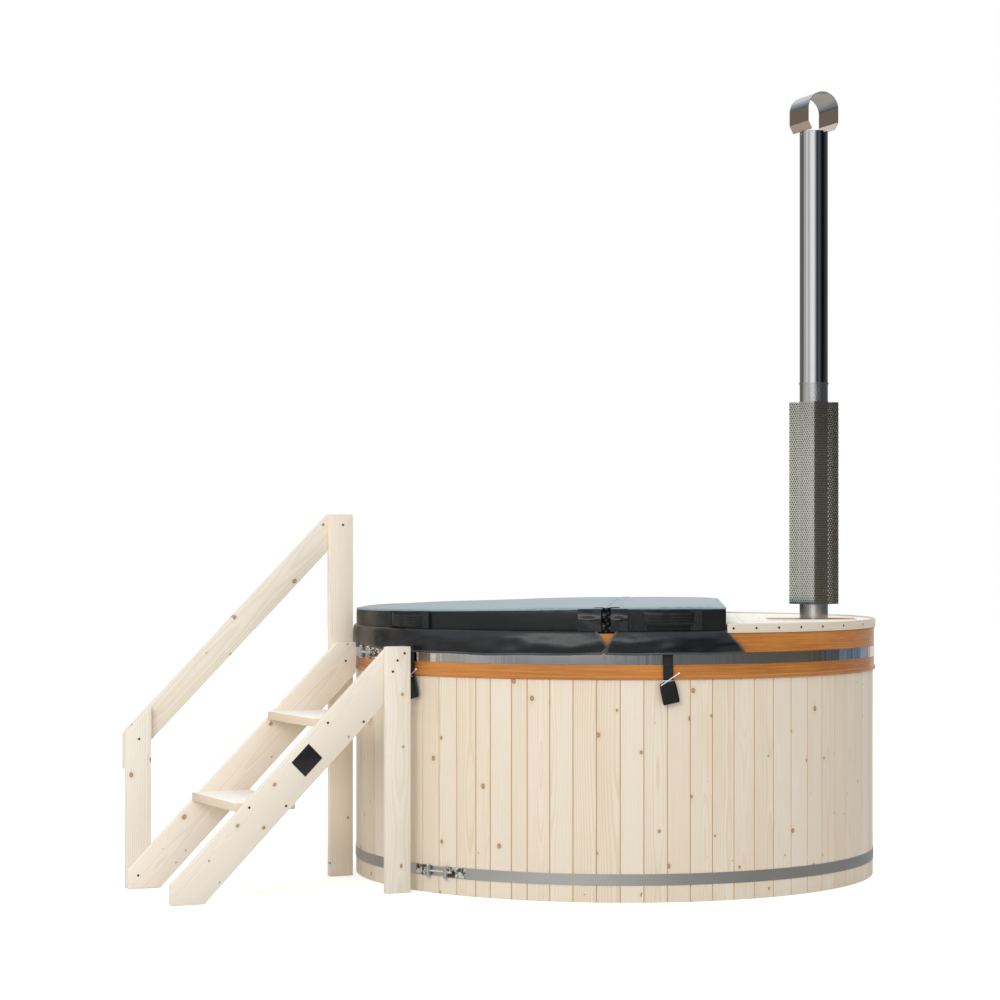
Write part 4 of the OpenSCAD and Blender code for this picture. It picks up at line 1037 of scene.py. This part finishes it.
# ---- Fold ------------------------------------------------------------------
# A strip of the pale vinyl is sewn over the gap between the halves, and a
# loose ruffled piece closes each end of the gap.
strip_half = 0.045
strip_reach = 0.996


def strip_place(u, v):
    x = strip_half * (2 * u - 1)
    y = strip_reach * (2 * v - 1)
    sag = 0.0035 * exp(-((x / 0.010) ** 2))
    ripple = 0.0006 * sin(31 * y + 40 * x) + 0.0005 * sin(83 * y)
    return Vector((x, y, slope_top(x) + 0.0014 - sag + ripple))


# Its middle is creased into the gap and painted dark there: painted shade in the crease.
strip_finish = pale_vinyl_painted_sky.copy()
strip_finish.name = "creased vinyl, painted shade"
crease = maths("ABSOLUTE", axes(place_in(strip_finish.node_tree))[0])
overpaint(strip_finish, minus(1.0, fade(crease, 0.0014, 0.0024)), (0.030, 0.036, 0.042, 1))
strip = shaped_grid(
    "fold_strip_sewn", 30, 160, strip_place, strip_finish, thick=0.0015, outward=lambda point: upright
)
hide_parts("fold_strip")
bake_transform(strip)

gusset_half = 0.0165
for name, side in (("front", -1), ("back", 1)):

    def gusset_place(u, v):
        x = gusset_half * (2 * u - 1)
        z = cover_low + 0.003 + 0.087 * v
        bulge = 0.5 + 0.5 * cos(pi * (2 * u - 1))
        folds = sin(2 * pi * (2.1 * v + 0.35 * u) + 0.6)
        pleat = sin(2 * pi * (4.6 * v - 0.8 * u) + 1.9)
        out = 0.985 + bulge * (0.0035 + 0.0065 * folds + 0.0035 * pleat)
        return Vector((x, side * out, z))

    gusset = shaped_grid("fold_gusset_%s" % name, 14, 40, gusset_place, thin_vinyl, thick=0.0012)
    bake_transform(gusset)

# Patches sewn on both halves beside the gap, each with one pleat across.
pleat_z = 0.9905
for name, x_from, x_to in (("left", -0.100, -0.019), ("right", 0.016, 0.075)):
    for end, side in (("front", -1), ("back", 1)):

        def patch_place(u, v):
            x = x_from + (x_to - x_from) * u
            z = cover_low + 0.006 + 0.080 * v
            over = (z - pleat_z) / 0.013
            pleat = 0.0095 * exp(-(over ** 2)) if over > 0 else 0.0006 * sin(90 * x)
            near = 1.0 - 0.6 * abs(2 * u - 1)
            rim = 1.0006 + pleat * near + 0.0008 * sin(60 * x + 90 * z)
            return Vector((x, side * math.sqrt(rim ** 2 - x ** 2), z))

        patch = shaped_grid("fold_patch_%s_%s" % (name, end), 14, 40, patch_place, thin_vinyl, thick=0.0013)
        settle(patch, "cover_%s" % name, "cover_vinyl")

# ---- Skirts ----------------------------------------------------------------
# A strip of vinyl sewn round the lower edge of each half, which hangs over
# the liner's rim in soft waves. Its slanting ends are bound.
strap_bearings = (-134.6, -77.6, 77.6, 134.6)
clamp_bearing = -155.5
seam_z = 0.9405
hang_radius = 1.0085
bend_share = 0.72
bound_width = 0.008


def hem_height(bearing):
    """Height of the skirt's lower edge."""
    lift = 0.013 * exp(-(((bearing - clamp_bearing) / 8) ** 2))
    rise = 0.008 * max(0.0, 1 - abs(abs(bearing) - 62) / 22)
    wave = 0.0022 * sin(radians(7 * bearing)) + 0.0012 * sin(radians(23 * bearing + 40))
    return 0.867 + lift + rise + wave


skirt_waves = (
    (0.0024, 9, 1.3, 5.2),
    (0.0017, 19, 0.7, -6.4),
    (0.0010, 37, 2.0, 8.1),
    (0.0006, 83, 0.4, -3.0),
)


def skirt_point(bearing, v, proud=0.0):
    """A point of the skirt: v is 0 at its seam and 1 at its hem."""
    roll = 0.16
    turn = radians(bearing)
    if v < roll:
        share = 0.5 * pi * v / roll
        radius = 0.9988 + 0.0097 * sin(share)
        z = seam_z + 0.0110 * cos(share)
        s = 0.0
    else:
        s = (v - roll) / (1 - roll)
        radius = hang_radius + 0.0015 * s
        z = seam_z - s * (seam_z - hem_height(bearing))
    swing = sum(out * (1 + sin(waves * turn + start + slant * s)) for out, waves, start, slant in skirt_waves)
    calm = 1 - 0.75 * exp(-(((bearing - clamp_bearing) / 14) ** 2))
    radius += swing * calm * s ** 0.6 * (1 - 0.25 * s) + 0.0050 * sin(pi * s) * calm
    for strap in strap_bearings:
        radius += 0.0052 * s ** 1.5 * exp(-(((bearing - strap) / 2.6) ** 2))
    return around(radius + proud, turn, z)


def slanted(top, low, hem):
    """The bearing of a skirt's end at v: from top to low, and back to hem below."""

    def bearing(v):
        if v < bend_share:
            return top + (low - top) * v / bend_share
        return low + (hem - low) * (v - bend_share) / (1 - bend_share)

    return bearing


skirts = (
    ("left", "left", slanted(-92.1, -89.6, -91.1), slanted(-267.9, -270.4, -268.9), 3.18),
    ("right_front", "right", slanted(-88.0, -90.0, -90.1), slanted(-65.4, -62.4, -61.4), 0.50),
    ("right_back", "right", slanted(88.0, 90.0, 90.1), slanted(65.4, 62.4, 61.4), 0.50),
)
for name, side, first_end, last_end, span in skirts:
    body = "cover_%s" % side
    columns = round(span / 0.010)
    outer = 0.0021 if name == "left" else 0.0

    def lift_at(bearing):
        return outer * exp(-((sin(radians(bearing)) ** 2 - 1) / 0.004) ** 2)

    def skirt_place(u, v):
        bearing = first_end(v) + (last_end(v) - first_end(v)) * u
        return skirt_point(bearing, v, lift_at(bearing) * v)

    skirt = shaped_grid("skirt_%s_sewn" % name, columns, 20, skirt_place, thin_vinyl, thick=0.0013)
    settle(skirt, body, "cover_vinyl", "skirt_%s" % side)
    for end, edge_of, sign in (("first", first_end, 1), ("last", last_end, -1)):
        inward = sign * (1 if last_end(0.5) > first_end(0.5) else -1)

        def binding_place(u, v):
            bearing = edge_of(v) + inward * (u * math.degrees(bound_width) - 0.05)
            return skirt_point(bearing, v, lift_at(bearing) * v + 0.0008 + 0.0011 * sin(pi * u))

        bound_name = "skirt_%s_binding_%s" % (name, end)
        binding = shaped_grid(bound_name, 5, 24, binding_place, bound_vinyl, thick=0.0009)
        settle(binding, body, "cover_vinyl")

    def hem_place(u, v):
        bearing = first_end(1.0) + (last_end(1.0) - first_end(1.0)) * u
        depth = 0.925 + 0.080 * v
        return skirt_point(bearing, depth, lift_at(bearing) * depth + 0.0008 + 0.0010 * sin(pi * v))

    hem = shaped_grid("skirt_%s_hem" % name, columns, 5, hem_place, bound_vinyl, thick=0.0008)
    settle(hem, body, "cover_vinyl")

# ---- Carrying handles ------------------------------------------------------
# A flat sleeve of vinyl over webbing on each half, sewn down at both ends
# under stitched patches.
web_finish, web_tree, web_coat = new_finish("black webbing", Roughness=0.72)
web_at = axes(put(web_tree, "TexCoord").outputs["UV"])
web_height = times(maths("SINE", times(web_at[1], 420.0)), maths("SINE", times(web_at[0], 130.0)))
web_colour = tint(times_plus(web_height, 0.5, 0.5), (0.006, 0.006, 0.0065, 1), (0.018, 0.019, 0.020, 1))
feed(web_coat, {"Base Color": web_colour})
emboss(web_coat, web_height, 0.6, 0.0005)
thread_tones = ((0.020, 0.020, 0.020, 1), (0.048, 0.048, 0.048, 1))
thread_finish = mottled("grey thread", *thread_tones, 900.0, Roughness=0.6)
handle_run = 0.154
handle_wide = 0.043
thread_rows = 4
thread_radius = 0.0008
stitch = 0.005


def seam_stitches(name, path, length, body):
    """A row of stitches: a thread that dips into the cloth at each."""
    count = round(length / stitch)

    def place(u, v):
        here = path(u)
        ahead = (path(min(1.0, u + 0.01)) - path(max(0.0, u - 0.01))).normalized()
        out = from_axis(here)
        up = ahead.cross(out).normalized()
        swell = abs(sin(pi * count * u)) ** 0.5
        turn = 2 * pi * v
        skin = (out * cos(turn) + up * sin(turn)) * thread_radius * (0.15 + 0.85 * swell)
        return here + skin + out * (swell - 0.6) * 0.0004

    row = shaped_grid(name, count * 4, 4, place, thread_finish, outward=None)
    settle(row, body, "webbing")


for name, bearing, mid_z, patch_widths in (
    ("right", -77.4, 0.997, (0.064, 0.044)),
    ("left", -137.4, 0.984, (0.046, 0.048)),
):
    body = "cover_%s" % name

    def sleeve_at(u, v, lift=0.0):
        turn = radians(bearing) + (u - 0.5) * (handle_run + 0.024)
        bow = max(0.0, 1 - (2 * u - 1) ** 4)
        edge = 1 - (2 * v - 1) ** 6
        radius = 1.0022 + 0.010 * bow + 0.0016 * edge + 0.0006 * sin(22 * u) + lift
        z = mid_z + (v - 0.5) * handle_wide - 0.003 * bow
        return around(radius, turn, z)

    sleeve = shaped_grid("handle_%s_sleeve" % name, 32, 12, sleeve_at, black_vinyl, thick=0.0025)
    settle(sleeve, body, "webbing", "handle_%s" % name)
    for row in range(thread_rows):
        height = 0.14 + 0.24 * row

        def sleeve_row(u):
            return sleeve_at(0.06 + 0.88 * u, height, 0.0027)

        seam_stitches("handle_%s_stitches_%d" % (name, row + 1), sleeve_row, handle_run, body)
    for end, sign, patch_wide in (("a", -1, patch_widths[0]), ("b", 1, patch_widths[1])):
        middle = radians(bearing) + sign * (handle_run / 2 + patch_wide / 2 - 0.001)
        top_z = slope_top(cos(middle)) - 0.010

        def web_patch(u, v, lift=0.0):
            turn = middle + (u - 0.5) * patch_wide
            z = cover_low + 0.010 + (top_z - cover_low - 0.010) * v
            radius = 1.0014 + lift + 0.0022 * exp(-(((z - mid_z) / 0.024) ** 4))
            return around(radius, turn, z)

        patch = shaped_grid("handle_%s_patch_%s" % (name, end), 12, 24, web_patch, web_finish, thick=0.0016)
        settle(patch, body, "webbing")
        for row in range(thread_rows):
            across = 0.07 + 0.2867 * row

            def patch_row(u):
                return web_patch(across, 0.04 + 0.92 * u, 0.0018)

            seam_stitches("handle_%s_patch_%s_stitches_%d" % (name, end, row + 1), patch_row, 0.075, body)

# Upright seams join the panels of the left half's side wall, on both sides
# of its handle and in the same places at the back. Each is a near-black cord:
# painted shadow along the seam.
# Painted shadow: near-black tones for the seam cords.
seam_shadow_tones = ((0.001, 0.001, 0.001, 1), (0.004, 0.004, 0.004, 1))
seam_shadow_finish = mottled("seam shadow", *seam_shadow_tones, 300.0, Roughness=0.8)
for name, bearing, proud in (
    ("a", -142.55, 1.0060),
    ("b", -130.1, 1.0042),
    ("c", 142.55, 1.0060),
    ("d", 130.1, 1.0042),
):
    turn = radians(bearing)
    seam_low = cover_low + 0.008
    seam_top = slope_top(cos(turn)) - 0.008

    def seam_at(u):
        return around(proud, turn, seam_low + (seam_top - seam_low) * u)

    seam = round_cord("panel_seam_shadow_%s" % name, seam_at, 0.06, 0.0022, seam_shadow_finish, sides=6)
    settle(seam, "cover_left", "cover_vinyl")

# ---- Straps, pouches and ties ----------------------------------------------
# Webbing straps hang from under the skirt over the liner's collar, each into
# a small sewn pouch that holds its buckle. A white nylon tie hangs on each.
strap_wide = 0.035
pouch_wide = 0.060
pouch_tall = 0.078
pouch_low = 0.696
pouch_radius = 1.0192
strap_radius = 1.0122
loop_radius = 1.0150
nylon_tones = ((0.78, 0.78, 0.77, 1), (0.88, 0.88, 0.87, 1))
nylon_finish = mottled("white nylon", *nylon_tones, 70.0, Roughness=0.4)
strap_names = ("left_front", "right_front", "right_back", "left_back")
for name, bearing in zip(strap_names, strap_bearings):
    side = name.split("_")[0]
    body = "cover_%s" % side
    hand = math.copysign(1, bearing)
    lean = hand * (0.0090 if side == "left" else 0.0015)
    askew = hand * radians(-15 if side == "left" else -12)

    def strap_place(u, v):
        z = 0.762 + 0.136 * v
        radius = strap_radius - 0.0040 * max(0.0, (z - 0.84) / 0.058) + 0.0008 * sin(40 * v)
        turn = radians(bearing) + (u - 0.5) * strap_wide + lean
        return around(radius, turn, z)

    strap = shaped_grid("strap_%s" % name, 6, 30, strap_place, web_finish, thick=0.0016)
    settle(strap, body, "webbing", "straps_%s" % side)

    def pouch_place(u, v):
        a = 2 * pi * u
        level = cos(pi * v)
        spread = sin(pi * v) ** 0.08
        flat = math.copysign(abs(cos(a)) ** 0.34, cos(a)) * spread
        deep = sin(a) * sin(pi * v) ** 0.5
        across = flat * pouch_wide / 2 * (1 + 0.04 * level)
        down = math.copysign(abs(level) ** 0.75, level) * pouch_tall / 2
        puff = 0.0060 * deep * (1 + 0.10 * sin(190 * across + 90 * down) * sin(150 * down - 60 * across))
        drop = down + pouch_tall / 2
        swung = across * cos(askew) + drop * sin(askew)
        z = pouch_low + pouch_tall - drop * cos(askew) + across * sin(askew)
        return around(pouch_radius + puff, radians(bearing) + swung - 0.4 * askew * pouch_tall, z)

    pouch = shaped_grid("pouch_%s" % name, 48, 36, pouch_place, black_vinyl, outward=None)
    settle(pouch, body, "pouch_vinyl", "pouches_%s" % side)

    def loop_place(u, v):
        turn = radians(bearing) + (u - 0.5) * (strap_wide + 0.004) + lean
        z = pouch_low + pouch_tall + 0.0025 + 0.0030 * v
        radius = loop_radius - 0.0030 * (2 * u - 1) ** 8
        return around(radius, turn, z)

    loop = shaped_grid("tie_loop_%s" % name, 12, 2, loop_place, nylon_finish, thick=0.0011)
    settle(loop, body, "zip_tie_plastic")
for side in ("left", "right"):
    eased_copy("zip_ties_%s" % side, "cover_%s" % side, "zip_tie_plastic", nylon_finish, edge=0.0004)
